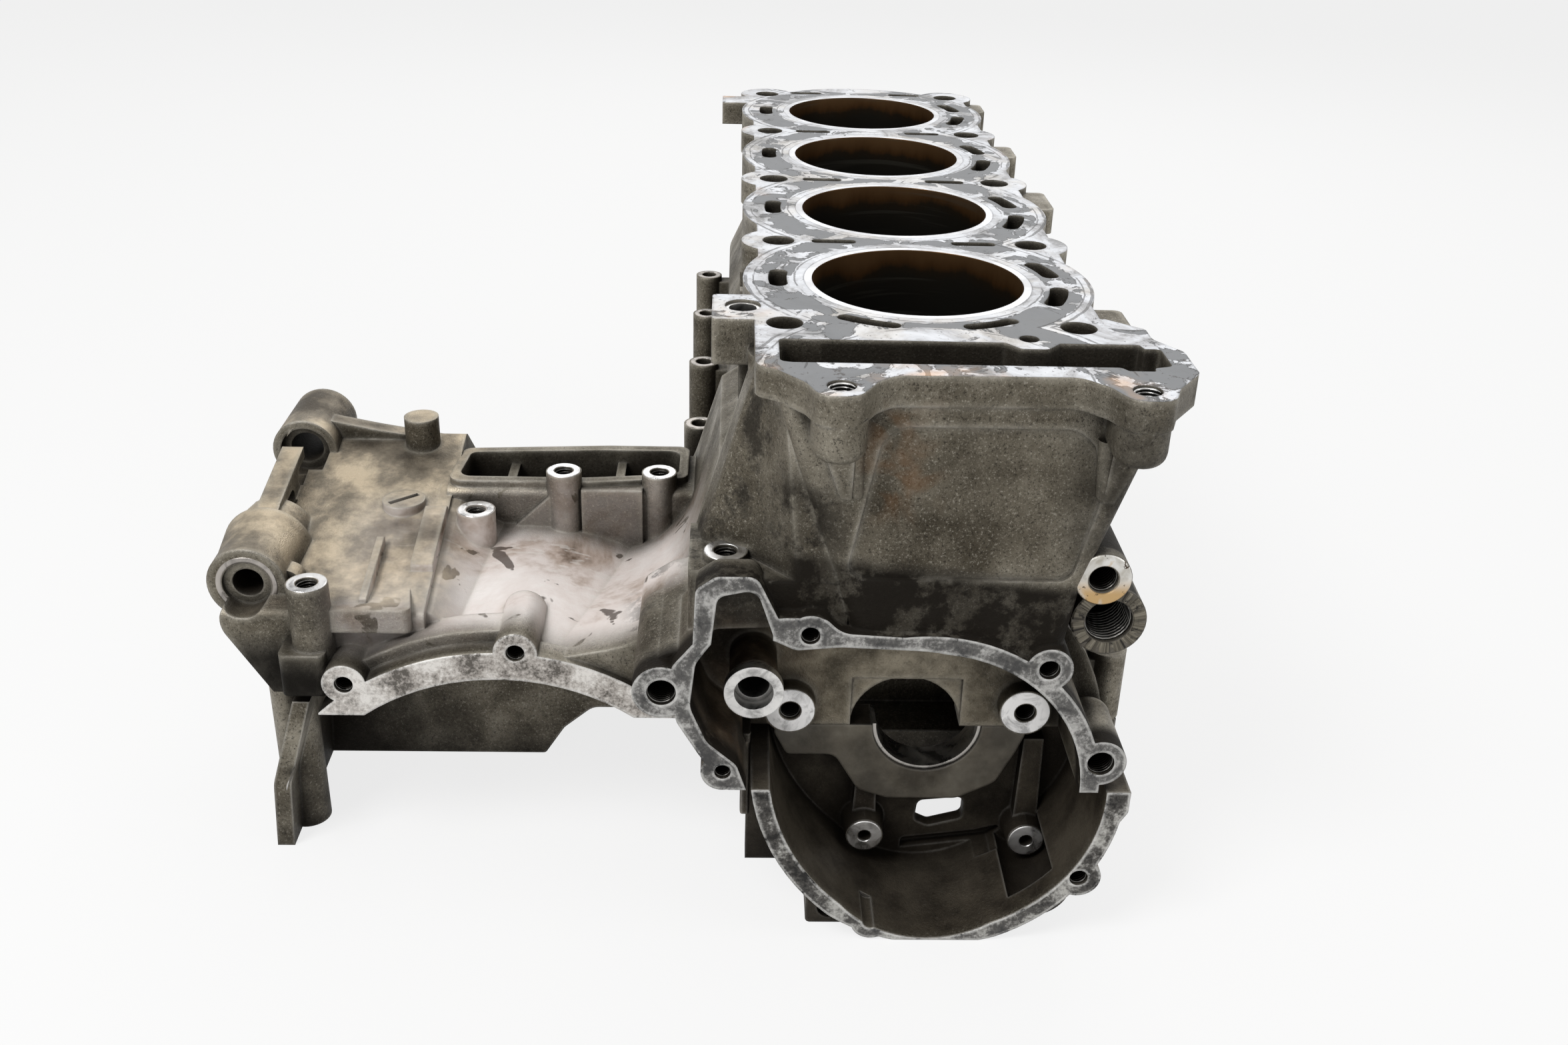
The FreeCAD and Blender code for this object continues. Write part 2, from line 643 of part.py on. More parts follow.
# ---- upper casting -----------------------------------------------------------
def upper_case():
    members = [
        joined(deck_plate() + deck_lugs()),
        joined([tunnel_body()] + ear_bosses()),
        joined(cover_outer(0, 46) + cover_bosses(30) + cover_lobe()),
    ]
    members += block_body() + corner_fairing() + crankcase_shell() + case_bolt_columns() + right_bosses()
    members += clutch_arch() + [clutch_barrel(), flank_sweep(), roof_fairing()] + clutch_bosses()
    members += gearbox_shell() + gearbox_lugs() + roof_details() + [breather_rim()]
    solid = members[0].multiFuse(members[1:])

    rooms = [water_jacket(), tunnel_panel(), breather_room(), clutch_room(-1, 200), gear_room()]
    rooms += tunnel_room() + cover_room() + crank_rooms(-1, 200) + liner_seats()
    solid = solid.cut(rooms).multiFuse(web_pads() + web_ribs())

    holes = deck_slots() + head_bolt_holes() + ear_holes() + case_bolt_holes() + bearing_bore()
    holes += clutch_bolt_holes() + gearbox_windows() + lug_holes() + pillar_holes() + shaft_bores()
    holes += [rod("xz", x, z, -1, 24, hole) for x, z, hole, boss in COVER_BOLTS]
    holes += [rod("xz", side * 45.5, 11, web_front_y - 8, web_front_y + 8, 4) for side in (-1, 1)]
    holes.append(rod("xz", -60, 33, 15, web_front_y + 10, 8.5))
    holes += [rod("xz", 60, 87, 4, 30, 5.2), rod("xz", 65, 68, 8, 40, 8.6)]
    holes.append(rod("xy", -bore_r - 26, 68, deck_z - 12, deck_z + 1, 6.5))
    holes.append(rod("xy", -bore_r - 26, 68, deck_z - 20, deck_z + 1, 4.5))
    return solid.cut(holes)


# ---- lower casting -----------------------------------------------------------
def bowl_wire(grow, y):
    """Egg-shaped section of the crank cover bowl, below the split plane."""
    place = to_space("xz", y)
    g = grow

    def arc(a, b, c):
        return Part.Arc(place(*a), place(*b), place(*c)).toShape()

    left = (-62.5 - g, 0)
    low_left = (-34 - 0.8 * g, -54 - 0.6 * g)
    low_right = (24 + 0.35 * g, -62.5 - 0.95 * g)
    right = (62 + g, 0)
    edges = [
        arc(left, (-54 - 0.95 * g, -28 - 0.3 * g), low_left),
        arc(low_left, (-8 - 0.1 * g, -69.5 - 0.35 * g), low_right),
        arc(low_right, (51.5 + 0.8 * g, -39 - 0.6 * g), right),
        Part.makeLine(place(*right), place(*left)),
    ]
    return Part.Wire(edges)


def bowl(grow, low, high):
    return Part.Face(bowl_wire(grow, low)).extrude(V(0, high - low, 0))


BOWL_BOLTS = ((56, -40, 3.5, 8.5), (-22, -62, 3.3, 8))


def saddle_outline():
    """Bearing saddle below the split plane: thin wings, deep round the journal."""
    return [
        (-60, 0), (-60, -4), (-55, -14, 3), (-36, -14, 6), (-26, -31, 8), (-14, -35, 6), (14, -35, 8),
        (29, -27, 8), (36, -12, 4), (39, -4, 2), (39, 0),
    ]


def lower_shell():
    """Walls of the lower crankcase and gearbox, down to the sump face."""
    wall = case_wall
    right = case_r + 2
    far = case_end_y - 4
    outer = [(case_r, 0), (case_r, -10, 4), (66, -44, 10), (66, pan_z), (-90, pan_z), (-90, 0)]
    inner = [(case_r - wall, 1), (case_r - wall, -12, 4), (59, -46, 10), (59, pan_z - 1), (-82, pan_z - 1), (-82, 1)]
    long_shell = prism(outer, "xz", web_front_y + 6, far)
    long_room = prism(inner, "xz", web_front_y + web_thick, far - wall)
    gear_outer = [(-250, 0), (-262, -40, 20), (-264, pan_z), (-60, pan_z), (-60, 0)]
    gear_inner = [(-243, 1), (-255, -40, 20), (-257, pan_z - 1), (-82, pan_z - 1), (-82, 1)]
    gear_shell = prism(gear_outer, "xz", clutch_y + 9, gearbox_far_y)
    gear_room_low = prism(gear_inner, "xz", clutch_y - 1, gearbox_far_y - gearbox_wall)
    rim = prism([(-case_r - 10, web_front_y + 14), (-case_r - 10, far, 6), (right, far, 6), (right, 62, 6),
                 (40, web_front_y + 14)], "xy", -split_flange, 0)
    return [long_shell, gear_shell, rim], [long_room, gear_room_low]


def lower_case():
    far = case_end_y - 4
    bulkhead_y = web_front_y + 9
    walls, rooms = lower_shell()
    walls.append(bowl(cover_rim, 0, web_front_y + web_thick))
    walls.append(rod("xz", 42, -54, 12, web_front_y + web_thick, 15))
    for x, z, hole, boss in BOWL_BOLTS:
        walls.append(rod("xz", x, z, 0, 26, boss).common(block(-90, 90, -1, 60, pan_z, 0)))
    foot = prism([(-46, -46, 4), (-46, pan_z + 2, 3), (-26, pan_z, 2), (40, pan_z, 3), (40, -58), (-26, -58)],
                 "xz", 14, web_front_y + 8)
    walls.append(foot)
    walls.append(prism([(-47, pan_z, 2), (-47, -52, 6), (-26, -52), (-26, pan_z)], "xz", 10, 44))
    walls.append(prism([(58, 0), (71, 0), (71, -9, 2), (66, -18, 3), (58, -24)], "xz", 0, 46))
    leg = rod("xz", clutch_x + 3, clutch_z, clutch_y, clutch_y + 12, clutch_room_r + clutch_rim)
    walls.append(leg.common(block(-290, -212, 0, 99, pan_z, 0)))
    walls.append(rod("xz", -246, -36, clutch_y, clutch_y + 24, 8))
    tab = [(-238, 0), (-238, -18), (-231, -14), (-221, -13, 3), (-221, 0)]
    walls.append(prism(tab, "xz", clutch_y, clutch_y + 12))
    solid = walls[0].multiFuse(walls[1:])
    leg_room = rod("xz", clutch_x + 3, clutch_z, clutch_y - 1, clutch_web_y, clutch_room_r)
    rooms.append(leg_room.common(block(-300, -76, 0, 200, pan_z - 1, -16)))
    rooms.append(block(-215, -90, clutch_y - 1, clutch_web_y, -17, 1))
    rooms.append(bowl(0, -1, bulkhead_y))
    rooms.append(rod("xz", 42, -53, 10, bulkhead_y, 11))
    rooms.append(block(-100, -70.5, 0, clutch_web_y, pan_z - 1, -split_flange))
    rooms.append(block(-82, 58, web_front_y + web_thick, far - case_wall, pan_z - 1, -split_flange))
    solid = solid.cut(rooms)

    kept = []
    for y in web_ys:
        kept.append(prism(saddle_outline(), "xz", y - web_thick / 2, y + web_thick / 2))
    wall_outline = [(-84, 0), (-84, pan_z + 1), (62, pan_z + 1), (62, -40, 4), (case_r - 5, 0)]
    for y in web_ys[1:-1]:
        kept.append(prism(wall_outline, "xz", y - 4, y + 4))
    kept.append(block(-40, 36, web_ys[1] - 28, web_ys[1], pan_z, pan_z + 14))
    kept.append(bowl(3, bulkhead_y, web_front_y + web_thick))
    window = prism([(0, -43, 3), (-1, -53, 3), (5, -56, 3), (19, -52, 3), (19, -41, 3)], "xz", 30, 80)
    for x, z, top in ((-22.5, -51, -26), (43.5, -53, -8)):
        kept.append(cone("xz", x, z, web_front_y - 4, bulkhead_y + 2, 7.5, 9))
        kept.append(prism([(x - 5, z), (x - 4, top), (x + 4, top), (x + 5, z)], "xz", web_front_y + 3, bulkhead_y + 2))
    web = [(-254, 0), (-258, pan_z), (-161, pan_z, 2), (-152, -57, 6), (-139, -46, 8), (-84, -46), (-84, 0)]
    kept.append(prism(web, "xz", clutch_web_y, clutch_web_y + clutch_web))
    for y in (clutch_y + 30, 150, 178):
        kept.append(rod("xy", -256, y, pan_z, 0, 9).common(block(-290, -245, 0, 300, pan_z, 0)))
    solid = solid.multiFuse(kept)

    holes = [rod("xz", 0, 0, web_front_y - 1, case_end_y + 1, housing_r)]
    holes += [rod("xz", x, z, -1, 18, hole) for x, z, hole, boss in BOWL_BOLTS]
    holes += [rod("xz", x, z, 30, web_front_y + 4, 2.5) for x, z in ((-22.5, -51), (43.5, -53))]
    holes.append(prism([(-6, -62, 2), (-6, -67), (30, -62), (38, -54, 2), (24, -58)], "xz", 40, bulkhead_y + 4))
    holes += shaft_bores()
    holes.append(rod("xz", -246, -36, clutch_y - 1, clutch_y + 14, 3.6))
    holes.append(rod("xz", -37.5, -63.5, 9, 30, 5))
    holes.append(window)
    for y in case_bolt_ys():
        holes.append(rod("xy", left_bolt_x, y, -split_flange - 1, 1, case_bolt_r))
    holes.append(block(-300, 100, -20, case_end_y + 20, pan_z - 20, pan_z))
    solid = solid.cut(holes)
    return solid.translated(V(lower_slide, 0, 0))


# ---- small fitted pieces -----------------------------------------------------
def cylinder_liner(y):
    return ring("xy", 0, y, liner_foot_z, deck_z, bore_r, liner_r)


def bearing_shell(y):
    length = web_thick - 2
    tube = ring("xz", 0, 0, y - length / 2, y + length / 2, journal_r, housing_r)
    half = tube.common(block(-60, 60, 0, 999, -60, 0))
    return half.translated(V(lower_slide, 0, 0))


def idler_sleeve():
    """Bright stepped sleeve pressed into its boss beside the crank."""
    flange = rod("xz", -60, 33, 14, 18, 11)
    barrel = rod("xz", -60, 33, 18, web_front_y - 4, 8.5)
    sleeve = flange.fuse(barrel)
    bores = [rod("xz", -60, 33, 13, 20, 7.2), rod("xz", -60, 33, 13, web_front_y, 5.8)]
    return sleeve.cut(bores)


def deck_dowel():
    return ring("xy", -bore_r - 26, 68, deck_z - 12, deck_z - 1, 5, 6.5)


def wire_inserts():
    centre_y = -ear_reach + ear_boss_r
    coils = []
    for x in (-35, 62):
        coils.append(ring("xy", x, centre_y, deck_z - 17, deck_z - 0.5, ear_hole_r, ear_hole_r + insert_wall))
    return Part.makeCompound(coils)


def save(shape, name):
    shape.exportStep("parts/" + name + ".step")


save(upper_case(), "upper_case")
save(lower_case(), "lower_case")
for number, centre in enumerate(bore_ys, 1):
    save(cylinder_liner(centre), "cylinder_liner_%d" % number)
for number, centre in enumerate(web_ys, 1):
    save(bearing_shell(centre), "main_bearing_shell_%d" % number)
save(idler_sleeve(), "idler_sleeve")
save(deck_dowel(), "deck_dowel")
save(wire_inserts(), "wire_thread_inserts")
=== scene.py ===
from math import cos, sin

import bmesh
import bpy
import numpy as np
from mathutils import Matrix, Vector


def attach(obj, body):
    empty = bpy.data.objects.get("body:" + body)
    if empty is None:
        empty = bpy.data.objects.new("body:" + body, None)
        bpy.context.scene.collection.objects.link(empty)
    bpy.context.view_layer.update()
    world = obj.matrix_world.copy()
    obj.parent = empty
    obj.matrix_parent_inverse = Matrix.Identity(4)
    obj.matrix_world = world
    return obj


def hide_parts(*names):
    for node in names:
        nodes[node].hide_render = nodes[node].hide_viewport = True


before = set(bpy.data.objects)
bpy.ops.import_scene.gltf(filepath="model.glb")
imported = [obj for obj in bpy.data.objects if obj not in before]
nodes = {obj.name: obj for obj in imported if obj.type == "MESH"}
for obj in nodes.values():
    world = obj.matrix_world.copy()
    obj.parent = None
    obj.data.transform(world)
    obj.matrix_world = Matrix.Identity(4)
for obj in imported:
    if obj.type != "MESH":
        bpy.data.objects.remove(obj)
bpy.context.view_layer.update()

# Engine block: two grey castings split at the crank, iron liners and small steel pieces.
# Metres, where no unit is given. The crank's axis is the Y axis.
DECK_Z = 0.1625
COVER_Y = 0.0              # crank cover face
COVER_TOP_Z = 0.0945       # the cover face lies below this height
CLUTCH_Y = 0.046           # clutch cover face
SADDLE_Y = 0.0426          # front face of the first lower bearing saddle
FIRST_BORE_Y = 0.100
BORE_PITCH = 0.100
SUMP_Z = -0.071

# Places with a finish of their own: low corner, high corner, soft margin
BARREL = ((-0.225, 0.060, 0.008), (-0.086, 0.128, 0.075), 0.012)
BARREL_END = ((-0.106, 0.040, -0.005), (-0.074, 0.090, 0.052), 0.010)
GEARBOX_ROOF = ((-0.275, 0.062, 0.020), (-0.182, 0.215, 0.080), 0.010)
RUSTY_PANEL = ((-0.024, -0.01, 0.112), (-0.002, 0.006, 0.150), 0.008)
POCKET = ((-0.080, 0.004, 0.002), (-0.036, 0.046, 0.068), 0.009)
FRONT_WEB = ((-0.062, 0.036, 0.0), (0.064, 0.048, 0.070), 0.002)
RIGHT_EAR = ((0.046, -0.030, 0.095), (0.100, 0.020, 0.158), 0.012)
WALL_CORNER = ((-0.062, -0.01, 0.086), (-0.033, 0.020, 0.122), 0.010)
LEFT_FLANK = ((-0.10, 0.004, 0.075), (-0.030, 0.075, 0.150), 0.010)
CLUTCH_ROOM = ((-0.250, 0.050, -0.080), (-0.055, 0.128, 0.004), 0.006)
CHAIN_TUNNEL = ((-0.040, 0.0098, 0.060), (0.075, 0.036, 0.1615), 0.0012)
BOWL = ((-0.075, 0.002, -0.075), (0.085, 0.060, 0.002), 0.003)

# Colours
# near black of soot, of the grain's pits and of painted shade in corners and hollows
GRIME_AND_SHADE = (0.010, 0.008, 0.006)
# painted shade: near black under the clutch room and the lugs
UNDERSIDE_SHADE = (0.006, 0.0055, 0.0045)
OIL_SPOT = (0.05, 0.03, 0.02)
RUST_RUN = (0.17, 0.075, 0.022)
GLINT = (0.50, 0.47, 0.40)
# painted highlight on broad cast edges; the next two are sharp-edge wear with painted highlight, on the
# upper and the lower casting
SOFT_EDGE_HIGHLIGHT = (0.46, 0.43, 0.36)
SHARP_EDGE_WEAR_AND_HIGHLIGHT = (0.66, 0.63, 0.58)
LOWER_EDGE_WEAR_AND_HIGHLIGHT = (0.58, 0.56, 0.52)
RUBBED_EDGE = (0.80, 0.79, 0.76)
SCRATCH = (0.86, 0.82, 0.78)
VEIL = (0.50, 0.46, 0.40)
PIT = (0.05, 0.045, 0.04)
CHIP = (0.06, 0.05, 0.045)
RESIDUE = (0.18, 0.185, 0.19)
RESIDUE_LINE = (0.03, 0.028, 0.026)
DECK_STAIN = (0.60, 0.35, 0.17)
COLLAR_SHADE = (0.22, 0.20, 0.17)
RING_LINE = (0.14, 0.135, 0.11)
UNION_RUST = (0.50, 0.29, 0.07)
UNION_SPOT = (0.05, 0.03, 0.015)

# Colour ramps: (place, colour) pairs
CAST = ((0.38, (0.060, 0.050, 0.034)), (0.50, (0.135, 0.118, 0.088)), (0.64, (0.27, 0.245, 0.195)))
MILLED = ((0.38, (0.22, 0.22, 0.22)), (0.46, (0.37, 0.37, 0.38)), (0.53, (0.47, 0.48, 0.50)),
          (0.68, (0.58, 0.59, 0.61)))
# rubbed pinkish barrel metal, its pale end a painted sheen
RUBBED_AND_SHEEN = ((0.31, (0.14, 0.095, 0.065)), (0.40, (0.52, 0.42, 0.36)), (0.50, (0.80, 0.72, 0.68)),
          (0.66, (0.92, 0.87, 0.84)))
TAN = ((0.37, (0.08, 0.066, 0.050)), (0.50, (0.24, 0.205, 0.155)), (0.64, (0.62, 0.52, 0.38)))
UMBER = ((0.38, (0.020, 0.012, 0.007)), (0.52, (0.10, 0.062, 0.034)), (0.66, (0.34, 0.26, 0.18)))
WEB_BROWN = ((0.38, (0.09, 0.075, 0.052)), (0.60, (0.30, 0.26, 0.19)))
BOWL_BROWN = ((0.36, (0.022, 0.016, 0.011)), (0.62, (0.12, 0.098, 0.070)))
SADDLE_TAN = ((0.36, (0.050, 0.042, 0.029)), (0.50, (0.120, 0.106, 0.080)), (0.64, (0.22, 0.20, 0.16)))
BORE_WALL = ((0.0, (0.024, 0.022, 0.018)), (0.45, (0.028, 0.024, 0.018)), (0.66, (0.036, 0.025, 0.015)),
             (0.80, (0.105, 0.050, 0.018)), (1.0, (0.17, 0.092, 0.038)))
BORE_RIM = ((0.38, (0.48, 0.48, 0.49)), (0.6, (0.70, 0.71, 0.73)))
UNION_FACE = ((0.36, (0.45, 0.42, 0.36)), (0.55, (0.74, 0.73, 0.70)))
COLLAR_SPOKES = ((0.40, (0.015, 0.012, 0.009)), (0.47, (0.10, 0.088, 0.066)), (0.62, (0.25, 0.225, 0.175)))

# Worn flanges: dark, middle and light tone
UPPER_COVER_TONES = ((0.010, 0.009, 0.008), (0.070, 0.066, 0.060), (0.44, 0.43, 0.41))
UPPER_CLUTCH_TONES = ((0.12, 0.108, 0.094), (0.46, 0.425, 0.39), (0.80, 0.77, 0.73))
LOWER_COVER_TONES = ((0.010, 0.009, 0.008), (0.075, 0.070, 0.063), (0.46, 0.45, 0.42))
LOWER_CLUTCH_TONES = ((0.12, 0.108, 0.094), (0.42, 0.39, 0.36), (0.74, 0.71, 0.68))

# Places of the fitted detail, in millimetres
MM = 0.001
PILLARS = ((-231, 60, 51, 8), (-140.5, 137, 64, 7.5), (-100, 139, 63, 7.5), (-176, 122, 52.5, 8),
           (-71, 24, 86.5, 8))                                # x, y, top, radius
PILLAR_HOLE = 0.52                                            # hole radius as a share of the pillar's
FLANK_BOLTS = (200, 280, 355, 425)                            # y
WEB_BOSSES = ((-45.5, 35.6, 11), (45.5, 35.6, 11))
BOWL_BOSSES = ((-13.5, 38.6, -51), (52.5, 38.6, -53))
LUG_BUSH = (-258, 72, 43)
UNION = (60, 5, 87)
COLLAR = (65, 9, 68)
EAR_RIBS = (((-29.8, 141), (-27.4, 117)), ((54.6, 141), (55.8, 117)))    # top and foot, each x and z
TUNNEL_WALL_Y = 3.0
COVER_BOLTS = ((-93, 42, 5.2), (-71, 8, 3), (-41, 66, 3.4), (44, 53, 3.8), (67, 13, 5))   # x, z, radius
CLUTCH_BOLTS = ((-151, 29), (-217.5, 14), (-91, 7))           # x, z
BOWL_BOLT = (65, 0, -40)
INSERTS = ((-35, -8, 162.5), (62, -8, 162.5))

# ---- material drawing board ------------------------------------------------------
class Board:
    """A material's node tree with short calls for the nodes that the finishes share."""

    def __init__(self, name):
        self.material = bpy.data.materials.new(name)
        self.material.use_nodes = True
        self.tree = self.material.node_tree
        self.tree.nodes.clear()
        self.place = self.add("ShaderNodeTexCoord").outputs["Object"]
        self.facing = self.add("ShaderNodeNewGeometry").outputs["Normal"]
        self.x, self.y, self.z = self.split(self.place)
        self.nx, self.ny, self.nz = self.split(self.facing)

    def add(self, kind, **settings):
        node = self.tree.nodes.new(kind)
        for key, value in settings.items():
            setattr(node, key, value)
        return node

    def feed(self, socket, value):
        """Links a socket, or sets the socket's own value."""
        if isinstance(value, bpy.types.NodeSocket):
            self.tree.links.new(value, socket)
        elif value is not None:
            socket.default_value = value

    def split(self, vector):
        node = self.add("ShaderNodeSeparateXYZ")
        self.feed(node.inputs[0], vector)
        return node.outputs[0], node.outputs[1], node.outputs[2]

    def sum_up(self, operation, a, b=None, c=None):
        node = self.add("ShaderNodeMath", operation=operation)
        for socket, value in zip(node.inputs, (a, b, c)):
            self.feed(socket, value)
        return node.outputs[0]

    def times(self, a, b):
        return self.sum_up("MULTIPLY", a, b)

    def plus(self, a, b):
        return self.sum_up("ADD", a, b)

    def minus(self, a, b):
        return self.sum_up("SUBTRACT", a, b)

    def most(self, *values):
        total = values[0]
        for value in values[1:]:
            total = self.sum_up("MAXIMUM", total, value)
        return total

    def above(self, a, limit):
        return self.sum_up("GREATER_THAN", a, limit)

    def below(self, a, limit):
        return self.sum_up("LESS_THAN", a, limit)

    def near(self, a, value, width):
        return self.sum_up("COMPARE", a, value, width)

    def fade(self, value, start, end, low=0.0, high=1.0):
        """Smooth step of value from start to end, going from low to high."""
        node = self.add("ShaderNodeMapRange", interpolation_type="SMOOTHSTEP")
        for socket, number in zip(node.inputs[:5], (value, start, end, low, high)):
            self.feed(socket, number)
        return node.outputs[0]

    def stretched(self, sx, sy, sz):
        """The place on the object with each axis scaled."""
        node = self.add("ShaderNodeMapping")
        self.feed(node.inputs["Vector"], self.place)
        node.inputs["Scale"].default_value = (sx, sy, sz)
        return node.outputs[0]

    def noise(self, scale, detail=4.0, rough=0.55, bend=0.0, vector=None):
        node = self.add("ShaderNodeTexNoise")
        self.feed(node.inputs["Vector"], vector or self.place)
        node.inputs["Scale"].default_value = scale
        node.inputs["Detail"].default_value = detail
        node.inputs["Roughness"].default_value = rough
        node.inputs["Distortion"].default_value = bend
        return node.outputs["Fac"]

    def colours(self, value, stops):
        node = self.add("ShaderNodeValToRGB")
        self.feed(node.inputs[0], value)
        ramp = node.color_ramp
        while len(ramp.elements) < len(stops):
            ramp.elements.new(0.5)
        for element, (place, colour) in zip(ramp.elements, stops):
            element.position = place
            element.color = (*colour, 1.0)
        return node.outputs[0]

    def blend(self, amount, first, second):
        """Mixes two colours, each a socket or a tuple."""
        node = self.add("ShaderNodeMix", data_type="RGBA")
        self.feed(node.inputs[0], amount)
        for socket, value in zip((node.inputs[6], node.inputs[7]), (first, second)):
            self.feed(socket, (*value, 1.0) if isinstance(value, tuple) else value)
        return node.outputs[2]

    def mix_value(self, amount, first, second):
        node = self.add("ShaderNodeMix", data_type="FLOAT")
        self.feed(node.inputs[0], amount)
        self.feed(node.inputs[2], first)
        self.feed(node.inputs[3], second)
        return node.outputs[0]

    def shelter(self, reach):
        """1 in the open, 0 deep in a corner."""
        node = self.add("ShaderNodeAmbientOcclusion", samples=8)
        node.inputs["Distance"].default_value = reach
        return node.outputs["AO"]

    def rounded(self, radius):
        """The surface's direction with its edges rounded off."""
        node = self.add("ShaderNodeBevel", samples=4)
        node.inputs["Radius"].default_value = radius
        return node.outputs[0]

    def bumps(self, *layers, rounding):
        """Stacks of (height socket, strength, distance), over rounded edges."""
        normal = self.rounded(rounding)
        for height, strength, distance in layers:
            node = self.add("ShaderNodeBump")
            node.inputs["Distance"].default_value = distance
            self.feed(node.inputs["Strength"], strength)
            self.feed(node.inputs["Height"], height)
            self.feed(node.inputs["Normal"], normal)
            normal = node.outputs[0]
        return normal

    def finish(self, colour, metal, rough, normal, gloss=0.5):
        shader = self.add("ShaderNodeBsdfPrincipled")
        self.feed(shader.inputs["Specular IOR Level"], gloss)
        self.feed(shader.inputs["Base Color"], colour)
        self.feed(shader.inputs["Metallic"], metal)
        self.feed(shader.inputs["Roughness"], rough)
        self.feed(shader.inputs["Normal"], normal)
        output = self.add("ShaderNodeOutputMaterial")
        self.feed(output.inputs[0], shader.outputs[0])
        return self.material

    # edge mask, for rubbed wear and for painted edge highlights
    def edge_wear_and_highlight(self, radius):
        """1 where the surface turns within radius, 0 on open faces."""
        dot = self.add("ShaderNodeVectorMath", operation="DOT_PRODUCT")
        self.feed(dot.inputs[0], self.rounded(radius))
        self.feed(dot.inputs[1], self.facing)
        return self.fade(dot.outputs["Value"], 0.995, 0.93)

    def box_zone(self, low, high, soft):
        """1 inside the box low to high, fading over soft at each side."""
        zone = None
        for value, a, b in zip((self.x, self.y, self.z), low, high):
            inside = self.times(self.fade(value, a - soft, a + soft), self.fade(value, b + soft, b - soft))
            zone = inside if zone is None else self.times(zone, inside)
        return zone

    def level_face(self, axis, value, sign, width=0.0004):
        """1 on a flat face at that level of the axis, facing sign along it."""
        place = (self.x, self.y, self.z)[axis]
        normal = (self.nx, self.ny, self.nz)[axis]
        facing = self.above(normal, 0.9) if sign > 0 else self.below(normal, -0.9)
        return self.times(self.near(place, value, width), facing)

    def front_face(self, value, width=0.0004):
        return self.level_face(1, value, -1, width)


# ---- finishes --------------------------------------------------------------------
def cast_ground(board):
    """Sand-cast aluminium with grain, mottling and soot: colour, roughness, grain height, mottling."""
    coarse = board.noise(850, 2, 0.6)
    fine = board.noise(2100, 2, 0.6)
    grain = board.plus(board.times(coarse, 0.5), board.times(fine, 0.5))
    mottle = board.noise(48, 6, 0.62)
    cloud = board.noise(14, 3, 0.5)
    tone = board.plus(board.times(mottle, 0.5), board.times(cloud, 0.5))
    colour = board.colours(tone, CAST)
    glints = board.fade(grain, 0.54, 0.66)
    colour = board.blend(board.times(glints, 0.42), colour, GLINT)
    pits = board.fade(grain, 0.47, 0.36)
    colour = board.blend(board.times(pits, 0.72), colour, GRIME_AND_SHADE)
    rough = board.fade(mottle, 0.35, 0.65, 0.60, 0.44)
    return colour, rough, grain, mottle


def shade_and_soot_amount(board, reach, reach_far):
    """Darkening in corners and hollows, broken up by noise: painted shade from how enclosed each point is,
    with some oily soot.
    """
    near = board.shelter(reach)
    far = board.shelter(reach_far)
    smear = board.noise(70, 5, 0.7)
    corner = board.fade(board.plus(near, board.times(smear, 0.6)), 1.16, 0.62)
    depth = board.fade(board.plus(far, board.times(smear, 0.4)), 0.98, 0.45)
    return board.most(board.times(corner, 0.88), board.times(depth, 0.95))


def gather(board, soot_and_shade, zone, noise, start, end, low=0.0, high=1.0):
    """More darkening in the zone, from low to high as the noise goes from start to end."""
    return board.most(soot_and_shade, board.times(zone, board.fade(noise, start, end, low, high)))


def machined_ground(board):
    """Milled aluminium with dull clouds and small black pits, and its tool marks' height."""
    marks = board.noise(900, 2, 0.5, vector=board.stretched(1.0, 0.08, 1.0))
    patch = board.noise(42, 6, 0.7, 0.8)
    colour = board.colours(patch, MILLED)
    veil = board.fade(board.noise(26, 5, 0.6, 0.6), 0.50, 0.62)
    colour = board.blend(board.times(veil, 0.35), colour, VEIL)
    pits = board.fade(board.noise(560, 2, 0.6), 0.64, 0.70)
    colour = board.blend(board.times(pits, 0.7), colour, PIT)
    return colour, marks


def deck_residue(board):
    """Grey gasket film round the bores and along the front, and its dark outlines with the
    bead lines that the gasket left round each bore."""
    ring_y = board.sum_up("WRAP", board.plus(board.y, -FIRST_BORE_Y), BORE_PITCH / 2, -BORE_PITCH / 2)
    square = board.plus(board.times(board.x, board.x), board.times(ring_y, ring_y))
    reach = board.sum_up("SQRT", square)
    torn = board.noise(58, 6, 0.62, 0.9)
    band = board.times(board.fade(reach, 0.0462, 0.0485), board.fade(reach, 0.0640, 0.0600))
    band = board.most(band, board.fade(board.y, 0.034, 0.024, 0.0, 0.80))
    strip = board.plus(torn, board.times(board.minus(band, 0.5), 0.17))
    film = board.fade(strip, 0.548, 0.556)
    outline = board.times(board.fade(strip, 0.530, 0.548), board.fade(strip, 0.572, 0.556))
    wander = board.plus(reach, board.times(board.minus(board.noise(90, 3, 0.6), 0.5), 0.0025))
    beads = board.most(*(board.near(wander, radius, width) for radius, width in
                         ((0.0466, 0.00035), (0.0622, 0.00035), (0.0652, 0.00060))))
    beads = board.times(beads, board.fade(board.noise(70, 3, 0.6), 0.38, 0.50))
    return film, board.most(outline, board.times(beads, 0.8))


def deck_face(board, bright):
    """Deck: milled metal under gasket film, with rusty stains and chips towards its edges."""
    film, outline = deck_residue(board)
    colour = board.blend(board.times(film, 0.92), bright, RESIDUE)
    colour = board.blend(board.times(outline, 0.8), colour, RESIDUE_LINE)
    margin = board.most(board.fade(board.y, 0.034, 0.0), board.fade(board.x, -0.048, -0.072),
                        board.fade(board.x, 0.056, 0.078))
    stain = board.times(board.fade(board.noise(22, 4, 0.6), 0.52, 0.68), margin)
    colour = board.blend(board.times(stain, 0.55), colour, DECK_STAIN)
    chips = board.times(board.fade(board.noise(170, 4, 0.7), 0.60, 0.63), margin)
    return board.blend(board.times(chips, 0.8), colour, CHIP), film


